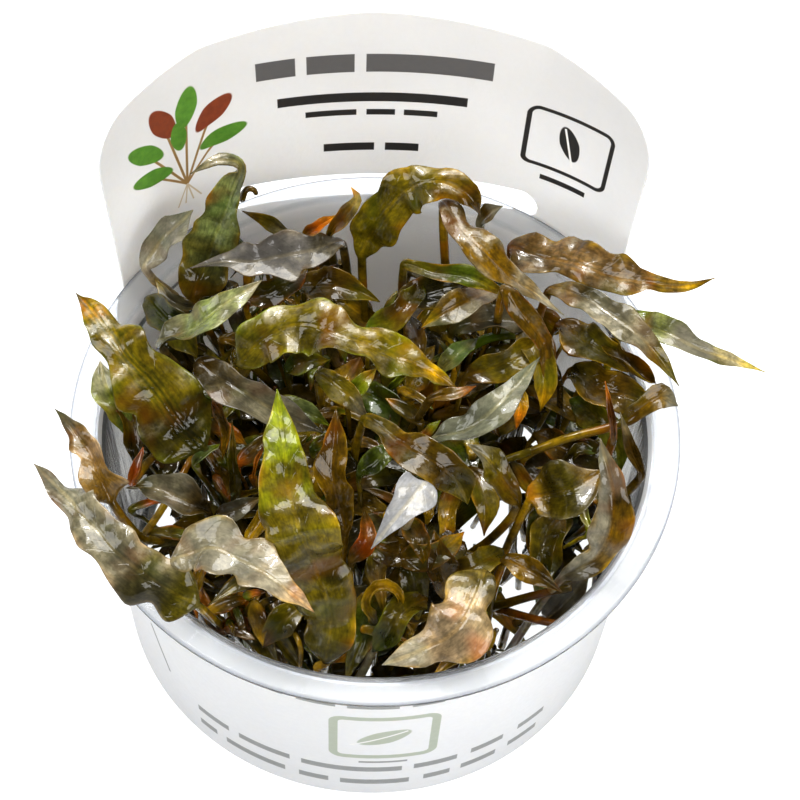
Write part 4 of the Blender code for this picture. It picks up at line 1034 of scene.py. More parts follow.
def build_crowns(paint):
    """Each plantlet's crown: a knobbly stock with the scars of old leaves."""
    target = leaf_bin()
    tint = target.verts.layers.float_color["tint"]
    blade = target.verts.layers.float_vector["blade"]
    for x, y in CROWNS.values():
        place = Matrix.Translation((x, y, GEL_TOP + 0.3 + CROWN_HEIGHT / 2))
        made = bmesh.ops.create_icosphere(target, subdivisions=4, radius=1)["verts"]
        for vert in made:
            bearing = Vector((vert.co.x, vert.co.y)).angle_signed(Vector((0, 1)), 0.0)
            rings = 0.06 * sin(vert.co.z * 22 + bearing)
            knobs = 0.08 * sin(5 * bearing + vert.co.z * 9)
            size = CROWN_RADIUS * (0.92 + rings + knobs)
            vert[tint] = (*mix_hues(HUES["umber"], HUES["dark"], 0.5 + 4 * knobs), 1)
            vert[blade] = (0, ON_STALK, 0)
            vert.co = place @ Vector((vert.co.x * size, vert.co.y * size,
                                      vert.co.z * CROWN_HEIGHT / 2))
    dice = random.Random(7)
    for name, (x, y) in CROWNS.items():
        for side, *sizes in YOUNG_LEAVES[name]:
            hue, other = dice.choice(YOUNG_HUES), dice.choice(YOUNG_HUES)
            add_shape(target, young_leaf(x, y, side, *sizes, (hue, other, hue, "gold"),
                                         dice.uniform(0, tau)))
    finish_mesh("crowns_with_young_leaves", target, paint, list(CROWNS))


def young_leaf(x, y, side, turn, distance, height, heading, length, rise, half, hues, phase):
    """One of the young leaves that a crown has grown, from its side to its tip."""
    up = Vector((0, 0, 1))
    out = Vector((cos(radians(turn)), sin(radians(turn)), 0))
    onward = Vector((cos(radians(heading)), sin(radians(heading)), 0))
    bearing = tau * (side + 0.25) / CROWN_SIDES
    root = Vector((x + YOUNG_ROOT_RADIUS * cos(bearing), y + YOUNG_ROOT_RADIUS * sin(bearing),
                   YOUNG_ROOT_HEIGHT))
    base = Vector((x, y, height)) + out * distance
    tip = base + onward * length + up * rise
    neck = root + up * NECK
    bend = neck.lerp(base, 0.65) + up * BEND_LIFT - onward
    wide = base.lerp(tip, 0.28) + up * BLADE_ARCH
    far = base.lerp(tip, 0.62) + up * BLADE_ARCH
    widths = [0, half, half * 0.82, 0]
    return leaf_shape([root, neck, bend], [base, wide, far, tip], widths, widths, 12, 0.35, hues,
                      18, 0.8, phase, 0.67, 0.9)


# Cup, gel and sleeve

def wall_radius(height):
    """Outer radius of the cup's wall at a height."""
    return BASE_RADIUS + (WALL_TOP_RADIUS - BASE_RADIUS) * height / CUP_HEIGHT


def build_cup(paint):
    """The clear cup: a flat flange with a fine lip, a stepped bead inside and a thin wall."""
    top = CUP_HEIGHT
    under = CUP_HEIGHT - FLANGE_THICKNESS
    inner = wall_radius(top - 2) - WALL
    profile = [(0, WALL), (BASE_RADIUS - 2.6, WALL), (BASE_RADIUS - 1.4, WALL + 0.35)]
    profile += [(wall_radius(2) - WALL - 0.1, 2.0)]
    for i in range(1, 10):
        height = 2 + i * (top - 6.0) / 10
        profile.append((wall_radius(height) - WALL, height))
    profile += [
        (inner, top - 3.2), (inner + 0.05, top - 2.6), (inner + 0.55, top - 2.2),
        (inner + 0.6, top - 1.0), (inner + 0.9, top - 0.45), (MOUTH_RADIUS, top - 0.12),
        (MOUTH_RADIUS + 0.5, top - 0.02), (MOUTH_RADIUS + 1.2, top - 0.05),
        (FLANGE_RADIUS - 1.1, top - 0.05), (FLANGE_RADIUS - 0.8, top),
        (FLANGE_RADIUS - 0.25, top), (FLANGE_RADIUS, top - 0.25),
        (FLANGE_RADIUS, under + 0.2), (FLANGE_RADIUS - 0.2, under),
        (wall_radius(under) + 0.6, under), (wall_radius(under) + 0.1, under - 0.4),
        (wall_radius(under - 2), under - 2.0), (wall_radius(under - 2), under - 2.2),
    ]
    for i in range(1, 10):
        height = (under - 2.2) * (1 - i / 10) + 0.08 * i
        profile.append((wall_radius(height), height))
    profile += [(BASE_RADIUS - 0.05, 0.7), (BASE_RADIUS - 0.6, 0.05), (BASE_RADIUS - 1.2, 0),
                (0, 0)]
    shape = bmesh.new()
    spin_profile(shape, profile, CUP_SIDES)
    finish_mesh("clear_cup", shape, paint, ["cup"])


def build_gel(paint):
    """The gel on the cup's floor, with a low meniscus and a slightly uneven top."""
    floor_radius = BASE_RADIUS - WALL - 1.3
    top_radius = wall_radius(GEL_TOP) - WALL - 0.3
    profile = [(0, GEL_TOP - 0.3)]
    profile += [(top_radius * i / 12, GEL_TOP - 0.3) for i in range(1, 12)]
    profile += [
        (top_radius - 0.9, GEL_TOP - 0.1), (top_radius - 0.3, GEL_TOP + 0.3), (top_radius, GEL_TOP),
        (floor_radius + 0.6, GEL_FLOOR + 1.0), (floor_radius, GEL_FLOOR), (0, GEL_FLOOR),
    ]
    shape = bmesh.new()
    spin_profile(shape, profile, 96)
    for vert in shape.verts:
        if vert.co.z > GEL_TOP - 0.35 and vert.co.xy.length < top_radius - 1:
            vert.co.z += 0.14 * sin(vert.co.x * 0.5 + 1) * cos(vert.co.y * 0.42)
    finish_mesh("clear_gel", shape, paint, ["growth_gel"])


def panel_top(bearing):
    """Height of the sleeve's top edge at a bearing: a low arch with round shoulders."""
    middle = (PANEL_LEFT + PANEL_RIGHT) / 2
    half = (PANEL_RIGHT - PANEL_LEFT) / 2
    away = min(1.0, abs(bearing - middle) / half)
    arch = PANEL_SHOULDER + (PANEL_TOP - PANEL_SHOULDER) * (1 - away ** 1.4)
    corner = max(0.0, away * half - (half - SHOULDER_SPREAD)) / SHOULDER_SPREAD
    return arch - SHOULDER_DROP * (1 - (1 - corner ** 2) ** 0.5)


def card_radius(bearing, height):
    """Inner radius of the card: on the cup's wall below, round or through the flange above."""
    middle = (PANEL_LEFT + PANEL_RIGHT) / 2
    away = abs(bearing - middle)
    half = (PANEL_RIGHT - PANEL_LEFT) / 2
    snug = wall_radius(height) + CARD_GAP
    free = FLANGE_RADIUS + CARD_GAP - PANEL_PINCH * (1 - min(1.0, away / PINCH_SPREAD) ** 2)
    free += PANEL_LEAN * max(0.0, height - CUP_HEIGHT)
    share = smooth((half + CARD_FLARE - away) / CARD_FLARE)
    share *= smooth((height - FLARE_FOOT) / FLARE_RISE)
    return snug + (free - snug) * share


def build_sleeve(paint):
    """The printed card sleeve with its arched panel, and the slot that the flange pokes through."""
    span = PANEL_RIGHT - PANEL_LEFT
    steps = [2 * i / PANEL_COLUMNS - 1 for i in range(PANEL_COLUMNS + 1)]
    columns = [PANEL_LEFT + span * (2 + step + sin(step * pi / 2)) / 4 for step in steps]
    columns += [PANEL_RIGHT + (360 - span) * (i + 1) / FRONT_COLUMNS for i in range(FRONT_COLUMNS)]
    below = [CARD_FOOT + (SLOT_BOTTOM - CARD_FOOT) * i / CARD_ROWS for i in range(CARD_ROWS + 1)]
    above = [i / CARD_ROWS for i in range(CARD_ROWS + 1)]
    rows = len(below) + len(above)
    shape = bmesh.new()
    bmesh.ops.create_grid(shape, x_segments=len(columns) - 1, y_segments=rows - 1, size=0.5)
    for vert in shape.verts:
        vert.co.x = round((vert.co.x + 0.5) * (len(columns) - 1))
        vert.co.y = round((vert.co.y + 0.5) * (rows - 1))
    front_top = [face for face in shape.faces
                 if max(vert.co.x for vert in face.verts) > PANEL_COLUMNS + 0.5
                 and max(vert.co.y for vert in face.verts) > len(below) - 0.5]
    bmesh.ops.delete(shape, geom=front_top, context="FACES")
    for vert in shape.verts:
        bearing = (columns[round(vert.co.x)] + 180) % 360 - 180
        row = round(vert.co.y)
        if row < len(below):
            height = below[row]
        else:
            foot = CUP_HEIGHT + 0.3
            height = foot + (panel_top(bearing) - foot) * above[row - len(below)]
        radius = card_radius(bearing, height)
        vert.co = (radius * sin(radians(bearing)), radius * cos(radians(bearing)), height)
    bmesh.ops.remove_doubles(shape, verts=shape.verts, dist=0.01)
    bmesh.ops.recalc_face_normals(shape, faces=shape.faces)
    sleeve = finish_mesh("printed_sleeve", shape, paint, ["label_sleeve"])
    thick = sleeve.modifiers.new("card", "SOLIDIFY")
    thick.thickness = CARD * MM
    thick.offset = 1
    cut_slot(sleeve)
    return sleeve


def cut_slot(sleeve):
    """Cut the round-ended slot that the flange pokes through."""
    height = SLOT_TOP - SLOT_BOTTOM
    middle = Vector(((SLOT_LEFT + SLOT_RIGHT) / 2, FLANGE_RADIUS - 10,
                     (SLOT_TOP + SLOT_BOTTOM) / 2))
    size = Matrix.Diagonal((SLOT_RIGHT - SLOT_LEFT, SLOT_REACH, height, 1))
    slot_shape = bmesh.new()
    bmesh.ops.create_cube(slot_shape, size=1, matrix=Matrix.Translation(middle) @ size)
    corners = [edge for edge in slot_shape.edges
               if abs(edge.verts[0].co.y - edge.verts[1].co.y) > 1]
    bmesh.ops.bevel(slot_shape, geom=corners, offset=height / 2 - 0.05, segments=10, profile=0.5,
                    affect="EDGES", material=-1)
    bmesh.ops.scale(slot_shape, verts=slot_shape.verts, vec=(MM, MM, MM))
    slot_mesh = bpy.data.meshes.new("slot_cutter")
    slot_shape.to_mesh(slot_mesh)
    slot_shape.free()
    cutter = bpy.data.objects.new("slot_cutter", slot_mesh)
    bpy.context.scene.collection.objects.link(cutter)
    cut = sleeve.modifiers.new("slot", "BOOLEAN")
    cut.operation = "DIFFERENCE"
    cut.object = cutter
    bpy.context.view_layer.update()
    graph = bpy.context.evaluated_depsgraph_get()
    finished = bpy.data.meshes.new_from_object(sleeve.evaluated_get(graph))
    sleeve.modifiers.clear()
    sleeve.data = finished
    finished.shade_smooth()
    finished.set_sharp_from_angle(angle=CARD_EDGE_ANGLE)
    bpy.data.objects.remove(cutter, do_unlink=True)


# Materials

class Paint:
    """A material and short ways to add and join its nodes."""

    def __init__(self, name):
        self.material = bpy.data.materials.new(name)
        self.material.use_nodes = True
        self.tree = self.material.node_tree
        self.shader = self.tree.nodes["Principled BSDF"]

    def set(self, **values):
        """Set constant values on the shader's own sockets."""
        for name, value in values.items():
            self.shader.inputs[name.replace("_", " ")].default_value = value

    def link(self, output, name):
        """Feed one of the shader's sockets."""
        self.tree.links.new(output, self.shader.inputs[name])

    def put(self, socket, value):
        """Link or set a socket, whichever the value asks for."""
        if isinstance(value, bpy.types.NodeSocket):
            self.tree.links.new(value, socket)
        elif isinstance(value, tuple) and len(value) == 3 and socket.type == "RGBA":
            socket.default_value = (*value, 1)
        else:
            socket.default_value = value

    def math(self, operation, *values):
        node = self.tree.nodes.new("ShaderNodeMath")
        node.operation = operation
        for socket, value in zip(node.inputs, values):
            self.put(socket, value)
        return node.outputs[0]

    def mix(self, share, first, second, blend="MIX"):
        node = self.tree.nodes.new("ShaderNodeMix")
        node.data_type = "RGBA"
        node.blend_type = blend
        self.put(node.inputs[0], share)
        self.put(node.inputs[6], first)
        self.put(node.inputs[7], second)
        return node.outputs[2]

    def between(self, value, low, high, out_low=0.0, out_high=1.0):
        """Ease from one value to another as the input goes from low to high."""
        node = self.tree.nodes.new("ShaderNodeMapRange")
        node.interpolation_type = "SMOOTHSTEP"
        for socket, item in zip(node.inputs, (value, low, high, out_low, out_high)):
            self.put(socket, item)
        return node.outputs[0]

    def place(self):
        node = self.tree.nodes.new("ShaderNodeTexCoord")
        return node.outputs["Object"]

    def attribute(self, name, output="Vector"):
        node = self.tree.nodes.new("ShaderNodeAttribute")
        node.attribute_name = name
        return node.outputs[output]

    def split(self, vector):
        node = self.tree.nodes.new("ShaderNodeSeparateXYZ")
        self.put(node.inputs[0], vector)
        return node.outputs

    def join(self, x, y, z):
        node = self.tree.nodes.new("ShaderNodeCombineXYZ")
        for socket, value in zip(node.inputs, (x, y, z)):
            self.put(socket, value)
        return node.outputs[0]

    def reach(self, x, y):
        """Distance from the axis."""
        return self.math("SQRT", self.math("ADD", self.math("MULTIPLY", x, x),
                                           self.math("MULTIPLY", y, y)))

    def noise(self, place, scale, detail=3.0, roughness=0.55):
        node = self.tree.nodes.new("ShaderNodeTexNoise")
        self.put(node.inputs["Vector"], place)
        node.inputs["Scale"].default_value = scale
        node.inputs["Detail"].default_value = detail
        node.inputs["Roughness"].default_value = roughness
        return node.outputs["Fac"]

    def bump(self, height, strength, distance):
        node = self.tree.nodes.new("ShaderNodeBump")
        node.inputs["Strength"].default_value = strength
        node.inputs["Distance"].default_value = distance
        self.put(node.inputs["Height"], height)
        return node.outputs[0]


# Leaf skin: spacing in mm of side veins and ribs, what marks do to the leaf's own colour, and the
# pale colour of the painted sheen
VEIN_SPACING, VEIN_SLANT = 1.35, 1.15
RIB_SPACING = 0.50
WARM_TINT = (1.6, 0.75, 0.45)
GREEN_TINT = (0.7, 1.3, 0.6)
VEIN_TINT = (0.55, 0.6, 0.5)
MIDRIB_TINT = (1.7, 1.5, 1.0)
RIB_TINT = (0.42, 0.55, 0.5)
PAINTED_SHEEN_COLOUR = (0.40, 0.355, 0.25)


def leaf_paint():
    """Wet leaf skin: its own hues, midrib, side veins, mottling, a glossy wet coat, and painted
    sheen on its level parts.
    """
    paint = Paint("wet_leaf")
    tint = paint.attribute("tint", "Color")
    mottled = paint.attribute("tint", "Alpha")
    x, y, across = paint.split(paint.attribute("blade"))
    place = paint.place()
    away = paint.math("ABSOLUTE", x)

    def toned(colour, share, marks):
        return paint.mix(share, colour, paint.mix(1.0, colour, marks, "MULTIPLY"))

    # Side veins slant to the tip, the midrib runs down the middle, and ribs run beside it
    wobble = paint.noise(place, 260.0, 1.0)
    slant = paint.math("MULTIPLY_ADD", away, -VEIN_SLANT, y)
    slant = paint.math("MULTIPLY_ADD", wobble, 1.6, slant)
    vein = paint.between(paint.math("PINGPONG", slant, VEIN_SPACING), 0.0, 0.22, 1.0, 0.0)
    on_blade = paint.between(y, -1.0, 2.0)
    inner = paint.between(across, 0.75, 0.98, 1.0, 0.0)
    vein = paint.math("MULTIPLY", paint.math("MULTIPLY", vein, on_blade), inner)
    rib = paint.math("MULTIPLY", paint.between(away, 0.15, 0.55, 1.0, 0.0), on_blade)
    stripes = paint.math("MULTIPLY_ADD", wobble, 0.22, away)
    ridges = paint.math("MULTIPLY", paint.math("PINGPONG", stripes, RIB_SPACING), 2.0)
    near_rib = paint.math("MULTIPLY", paint.between(away, 0.5, 3.2, 1.0, 0.0), on_blade)
    ridges = paint.math("MULTIPLY", ridges, near_rib)
    ridges = paint.math("MULTIPLY", ridges, paint.attribute("ribbed", "Fac"))

    # Mottling: large and small patches, and streaks along the blade
    large = paint.noise(place, 90.0, 3.0, 0.6)
    small = paint.noise(place, 620.0, 2.0, 0.7)
    tall = paint.join(paint.math("MULTIPLY", away, 0.9), paint.math("MULTIPLY", slant, 0.16), 0.0)
    streaks = paint.noise(tall, 3.2, 2.0, 0.6)
    shade = paint.between(large, 0.32, 0.70, 0.34, 1.65)
    shade = paint.math("MULTIPLY", shade, paint.between(small, 0.3, 0.7, 0.66, 1.36))
    shade = paint.math("MULTIPLY", shade, paint.between(streaks, 0.3, 0.7, 0.8, 1.22))
    calm = paint.math("MULTIPLY_ADD", mottled, 0.6, 0.4)
    shade = paint.math("MULTIPLY_ADD", paint.math("SUBTRACT", shade, 1.0), calm, 1.0)
    colour = paint.mix(1.0, tint, paint.join(shade, shade, shade), "MULTIPLY")
    warm = paint.between(paint.noise(place, 150.0, 1.0), 0.52, 0.72, 0.0, 0.5)
    green = paint.between(paint.noise(place, 115.0, 2.0, 0.5), 0.55, 0.75, 0.0, 0.35)
    for patch, marks in ((warm, WARM_TINT), (green, GREEN_TINT)):
        share = paint.math("MULTIPLY", patch, mottled)
        colour = paint.mix(share, colour, paint.mix(1.0, tint, marks, "MULTIPLY"))
    colour = toned(colour, paint.math("MULTIPLY", vein, 0.26), VEIN_TINT)
    colour = toned(colour, paint.math("MULTIPLY", rib, 0.35), MIDRIB_TINT)
    colour = toned(colour, paint.math("MULTIPLY", ridges, 0.95), RIB_TINT)

    # Painted sheen: a pale colour on the level parts, for light reflected off them, broken up by
    # fine noise
    grain = paint.between(paint.noise(place, 700.0, 3.0, 0.7), 0.42, 0.60, 0.25, 1.0)
    painted_sheen = paint.math("MULTIPLY", grain, paint.between(large, 0.35, 0.55, 0.35, 1.0))
    painted_sheen = paint.math("MULTIPLY", painted_sheen, paint.attribute("sheen", "Fac"))
    paint.link(paint.mix(painted_sheen, colour, PAINTED_SHEEN_COLOUR), "Base Color")
    paint.link(paint.between(large, 0.3, 0.7, 0.28, 0.5), "Roughness")

    relief = paint.math("MULTIPLY", vein, -0.10)
    for mark, strength in ((rib, -0.5), (ridges, 0.25), (streaks, 0.12), (small, 0.2)):
        relief = paint.math("MULTIPLY_ADD", mark, strength, relief)
    bump = paint.bump(relief, 0.6, 0.00022)
    paint.link(bump, "Normal")
    paint.link(bump, "Coat Normal")
    paint.set(IOR=1.42, Coat_Weight=1.0, Coat_Roughness=0.03, Coat_IOR=1.5,
              Specular_IOR_Level=0.04)
    return paint.material


def cup_paint():
    """Clear moulded plastic, with faint draw lines, a slightly darker flange, and painted shade:
    darker lines at the lip and bead.
    """
    paint = Paint("clear_moulded_plastic")
    x, y, z = paint.split(paint.place())
    bearing = paint.math("ARCTAN2", x, y)
    lines = paint.noise(paint.join(paint.math("MULTIPLY", bearing, 14.0), 0.0,
                                   paint.math("MULTIPLY", z, 20.0)), 1.6)
    haze = paint.noise(paint.place(), 60.0, 1.0)
    paint.link(paint.between(haze, 0.35, 0.75, 0.03, 0.10), "Roughness")
    paint.link(paint.bump(lines, 0.25, 0.0004), "Normal")
    paint.set(IOR=1.2, Transmission_Weight=0.88)
    out = paint.reach(x, y)
    on_flange = paint.between(z, 0.0500, 0.0508)
    # Painted shade: grey-blue lines at the outer lip and along the bead, where the clear edges look
    # dark; the flange beyond the bead is a little greyer
    lip = paint.between(out, 0.0499, 0.0503, 0.0, 0.9)
    off_bead = paint.math("ABSOLUTE", paint.math("SUBTRACT", out, 0.0465))
    bead = paint.between(off_bead, 0.0001, 0.0006, 0.55, 0.0)
    edge = paint.math("MULTIPLY", paint.math("MAXIMUM", lip, bead), on_flange)
    ring = paint.math("MULTIPLY", paint.between(out, 0.0466, 0.0474), on_flange)
    clear = paint.mix(ring, (0.945, 0.955, 0.965), (0.86, 0.875, 0.89))
    paint.link(paint.mix(edge, clear, (0.52, 0.55, 0.60)), "Base Color")
    return paint.material


def gel_paint():
    """Clear gel with faint clouds."""
    paint = Paint("clear_gel")
    clouds = paint.noise(paint.place(), 55.0, 2.0)
    paint.link(paint.mix(paint.between(clouds, 0.35, 0.7), (0.97, 0.98, 0.94), (1.0, 1.0, 0.98)),
               "Base Color")
    paint.link(paint.between(clouds, 0.3, 0.7, 0.06, 0.20), "Roughness")
    paint.link(paint.bump(paint.noise(paint.place(), 240.0, 1.0), 0.3, 0.0004), "Normal")
    paint.set(IOR=1.34, Transmission_Weight=1.0)
    return paint.material


def bar(paint, across, height, left, right, low, high, soft=0.12):
    """A mask for a printed bar with square ends."""
    inside = paint.math("MINIMUM", paint.math("SUBTRACT", across, left),
                        paint.math("SUBTRACT", right, across))
    tall = paint.math("MINIMUM", paint.math("SUBTRACT", height, low),
                      paint.math("SUBTRACT", high, height))
    return paint.between(paint.math("MINIMUM", inside, tall), 0.0, soft)


def oval(paint, across, height, x, y, long, wide, turn):
    """A mask for a printed leaf: a pointed oval turned about its middle."""
    dx = paint.math("SUBTRACT", across, x)
    dy = paint.math("SUBTRACT", height, y)
    a = paint.math("ADD", paint.math("MULTIPLY", dx, cos(turn) / long),
                   paint.math("MULTIPLY", dy, sin(turn) / long))
    b = paint.math("SUBTRACT", paint.math("MULTIPLY", dy, cos(turn) / wide),
                   paint.math("MULTIPLY", dx, sin(turn) / wide))
    size = paint.math("ADD", paint.math("POWER", paint.math("ABSOLUTE", a), 1.5),
                      paint.math("MULTIPLY", b, b))
    return paint.between(size, 0.86, 1.0, 1.0, 0.0)


def frame_mask(paint, across, height, x, y, half_across, half_up, line, corner):
    """A mask for a printed frame with round corners."""
    dx = paint.math("SUBTRACT", paint.math("ABSOLUTE", paint.math("SUBTRACT", across, x)),
                    half_across - corner)
    dy = paint.math("SUBTRACT", paint.math("ABSOLUTE", paint.math("SUBTRACT", height, y)),
                    half_up - corner)
    out_x = paint.math("MAXIMUM", dx, 0.0)
    out_y = paint.math("MAXIMUM", dy, 0.0)
    within = paint.math("MINIMUM", paint.math("MAXIMUM", dx, dy), 0.0)
    far = paint.math("ADD", paint.reach(out_x, out_y), within)
    edge = paint.math("ABSOLUTE", paint.math("SUBTRACT", far, corner))
    return paint.between(edge, line / 2 - 0.05, line / 2 + 0.07, 1.0, 0.0)


# Print on the panel: bars (left, right, low, high) in mm along the card and up, and their ink
PANEL_BARS = [
    (-23.0, -16.5, 82.2, 86.6, 0.12), (-14.8, -6.8, 82.2, 86.6, 0.12),
    (-5.0, 15.8, 82.2, 86.6, 0.12),
    (-19.8, 12.2, 75.0, 77.3, 0.03), (-15.2, -6.4, 71.7, 73.2, 0.03), (-4.8, 0.2, 71.7, 73.2, 0.03),
    (1.6, 7.4, 71.7, 73.2, 0.03), (-12.2, -3.2, 62.8, 64.8, 0.03), (-1.4, 4.6, 62.8, 64.8, 0.03),
]
SPRIG_LEAVES = [
    (-42.6, 70.0, 4.6, 1.9, 2.75, "green"), (-43.2, 76.4, 4.8, 2.0, 2.35, "green"),
    (-39.2, 80.6, 4.8, 2.1, 1.95, "red"), (-34.6, 81.2, 4.8, 2.1, 1.35, "green"),
    (-30.2, 77.4, 4.8, 2.0, 0.85, "red"), (-29.0, 71.2, 4.6, 1.9, 0.40, "green"),
    (-36.6, 75.4, 3.6, 1.6, 1.60, "green"),
]
SPRIG_STEMS = [(-42.6, 70.0), (-43.2, 76.4), (-39.2, 80.6), (-34.6, 81.2), (-30.2, 77.4),
               (-29.0, 71.2)]
SPRIG_FOOT = (-36.2, 63.0)
SPRIG_ROOTS = (-38.6, -37.0, -35.4, -33.8)
FRONT_BARS = [
    (-17.0, -12.6, 40.6, 41.8), (-10.4, -3.8, 40.5, 41.7), (-2.0, 6.6, 40.4, 41.6),
    (8.6, 14.0, 40.6, 41.8),
    (-31.0, -24.0, 12.0, 14.2), (-22.0, -12.0, 11.8, 14.0), (-10.0, 8.0, 11.6, 13.8),
    (10.0, 18.0, 11.8, 14.0), (20.5, 27.0, 12.1, 14.3), (30.0, 36.0, 12.4, 14.6),
    (-31.0, -27.0, 6.2, 8.4), (-25.0, -13.0, 5.9, 8.1), (-10.5, -5.0, 5.7, 7.9),
    (-3.0, 9.5, 5.6, 7.8), (12.0, 17.0, 5.9, 8.1), (19.0, 26.0, 6.2, 8.4), (28.5, 35.0, 6.6, 8.8),
]


def stroke(paint, across, height, start, end, half):
    """A mask for a straight printed line between two places."""
    (x0, y0), (x1, y1) = start, end
    length = ((x1 - x0) ** 2 + (y1 - y0) ** 2) ** 0.5
    ux, uy = (x1 - x0) / length, (y1 - y0) / length
    dx = paint.math("SUBTRACT", across, x0)
    dy = paint.math("SUBTRACT", height, y0)
    down = paint.math("ADD", paint.math("MULTIPLY", dx, ux), paint.math("MULTIPLY", dy, uy))
    off = paint.math("ABSOLUTE", paint.math("SUBTRACT", paint.math("MULTIPLY", dy, ux),
                                            paint.math("MULTIPLY", dx, uy)))
    ends = paint.math("MINIMUM", down, paint.math("SUBTRACT", length, down))
    return paint.math("MULTIPLY", paint.between(off, half - 0.05, half + 0.08, 1.0, 0.0),
                      paint.between(ends, 0.0, 0.1))


# Inks of the print
BLACK_INK = (0.03, 0.03, 0.03)
LINE_INK = (0.25, 0.25, 0.25)
PALE_INK = (0.30, 0.31, 0.31)
SAGE_INK = (0.42, 0.46, 0.39)
STEM_INK = (0.30, 0.20, 0.08)
ROOT_INK = (0.52, 0.45, 0.33)
PANEL_SIGN_TILT = 0.22


def print_panel(paint, colour, across, height, fibres):
    """Plain bars, a small sprig and a framed leaf sign on the panel."""
    sprig_inks = {"green": paint.mix(fibres, (0.05, 0.16, 0.02), (0.16, 0.34, 0.05)),
                  "red": paint.mix(fibres, (0.14, 0.03, 0.015), (0.30, 0.08, 0.03))}
    for left, right, low, high, dark in PANEL_BARS:
        colour = paint.mix(bar(paint, across, height, left, right, low, high), colour,
                           (dark, dark, dark))
    for stem in SPRIG_STEMS:
        colour = paint.mix(stroke(paint, across, height, SPRIG_FOOT, stem, 0.22), colour, STEM_INK)
    for leaf_x, leaf_y, long, wide, turn, hue in SPRIG_LEAVES:
        colour = paint.mix(oval(paint, across, height, leaf_x, leaf_y, long, wide, turn), colour,
                           sprig_inks[hue])
    for root in SPRIG_ROOTS:
        colour = paint.mix(stroke(paint, across, height, SPRIG_FOOT, (root, 58.4), 0.12), colour,
                           ROOT_INK)
    lift = paint.math("MULTIPLY_ADD", paint.math("SUBTRACT", across, 29.8), -PANEL_SIGN_TILT,
                      height)
    sign = [
        (frame_mask(paint, across, lift, 29.8, 73.0, 7.6, 6.9, 0.8, 1.6), BLACK_INK),
        (oval(paint, across, lift, 29.8, 73.6, 4.2, 1.9, 1.9), BLACK_INK),
        (stroke(paint, across, lift, (31.0, 68.2), (28.6, 77.0), 0.18), (0.74, 0.74, 0.73)),
        (bar(paint, across, lift, 25.6, 34.4, 62.6, 63.9), BLACK_INK),
    ]
    for mask, hue in sign:
        colour = paint.mix(mask, colour, hue)
    return colour


def print_front(paint, colour, across, height):
    """A thin line, plain bars and a framed leaf sign on the front."""
    marks = [(stroke(paint, across, height, (-41.4, 31.0), (-37.9, 17.0), 0.25), LINE_INK)]
    marks += [(bar(paint, across, height, *place), PALE_INK) for place in FRONT_BARS]
    marks += [
        (frame_mask(paint, across, height, 4.4, 27.4, 8.6, 8.6, 1.5, 1.8), SAGE_INK),
        (oval(paint, across, height, 4.4, 27.6, 5.4, 2.6, 0.55), SAGE_INK),
        (stroke(paint, across, height, (-1.4, 24.0), (8.4, 30.2), 0.22), (0.76, 0.76, 0.75)),
        (bar(paint, across, height, 0.2, 8.8, 15.8, 16.7), PALE_INK),
    ]
    for mask, hue in marks:
        colour = paint.mix(mask, colour, hue)
    return colour


def panel_inside(paint, y, height, bearing, reach):
    """A mask for the side of the panel that faces the plant."""
    card_middle = FLANGE_RADIUS + CARD_GAP + CARD * 0.5
    outer = paint.math("MULTIPLY_ADD", paint.math("SUBTRACT", height, CUP_HEIGHT), PANEL_LEAN,
                       card_middle)
    off_middle = paint.math("SUBTRACT", paint.math("MULTIPLY", bearing, 57.2958),
                            (PANEL_LEFT + PANEL_RIGHT) / 2)
    away = paint.math("DIVIDE", paint.math("ABSOLUTE", off_middle), PINCH_SPREAD)
    pinch = paint.math("SUBTRACT", 1.0, paint.math("POWER", away, 2.0))
    outer = paint.math("MULTIPLY_ADD", paint.math("MAXIMUM", pinch, 0.0), -PANEL_PINCH, outer)
    above_cup = paint.math("GREATER_THAN", height, CUP_HEIGHT + 1.5)
    mask = paint.math("MULTIPLY", paint.math("GREATER_THAN", y, 0.0), above_cup)
    return paint.math("MULTIPLY", mask, paint.math("LESS_THAN", reach, outer))


def front_outside(paint, y, height, reach):
    """A mask for the outer side of the front."""
    slope = (WALL_TOP_RADIUS - BASE_RADIUS) / CUP_HEIGHT
    wall = paint.math("MULTIPLY_ADD", height, slope, BASE_RADIUS + CARD_GAP + CARD * 0.5)
    return paint.math("MULTIPLY", paint.math("LESS_THAN", y, 0.0),
                      paint.math("GREATER_THAN", reach, wall))


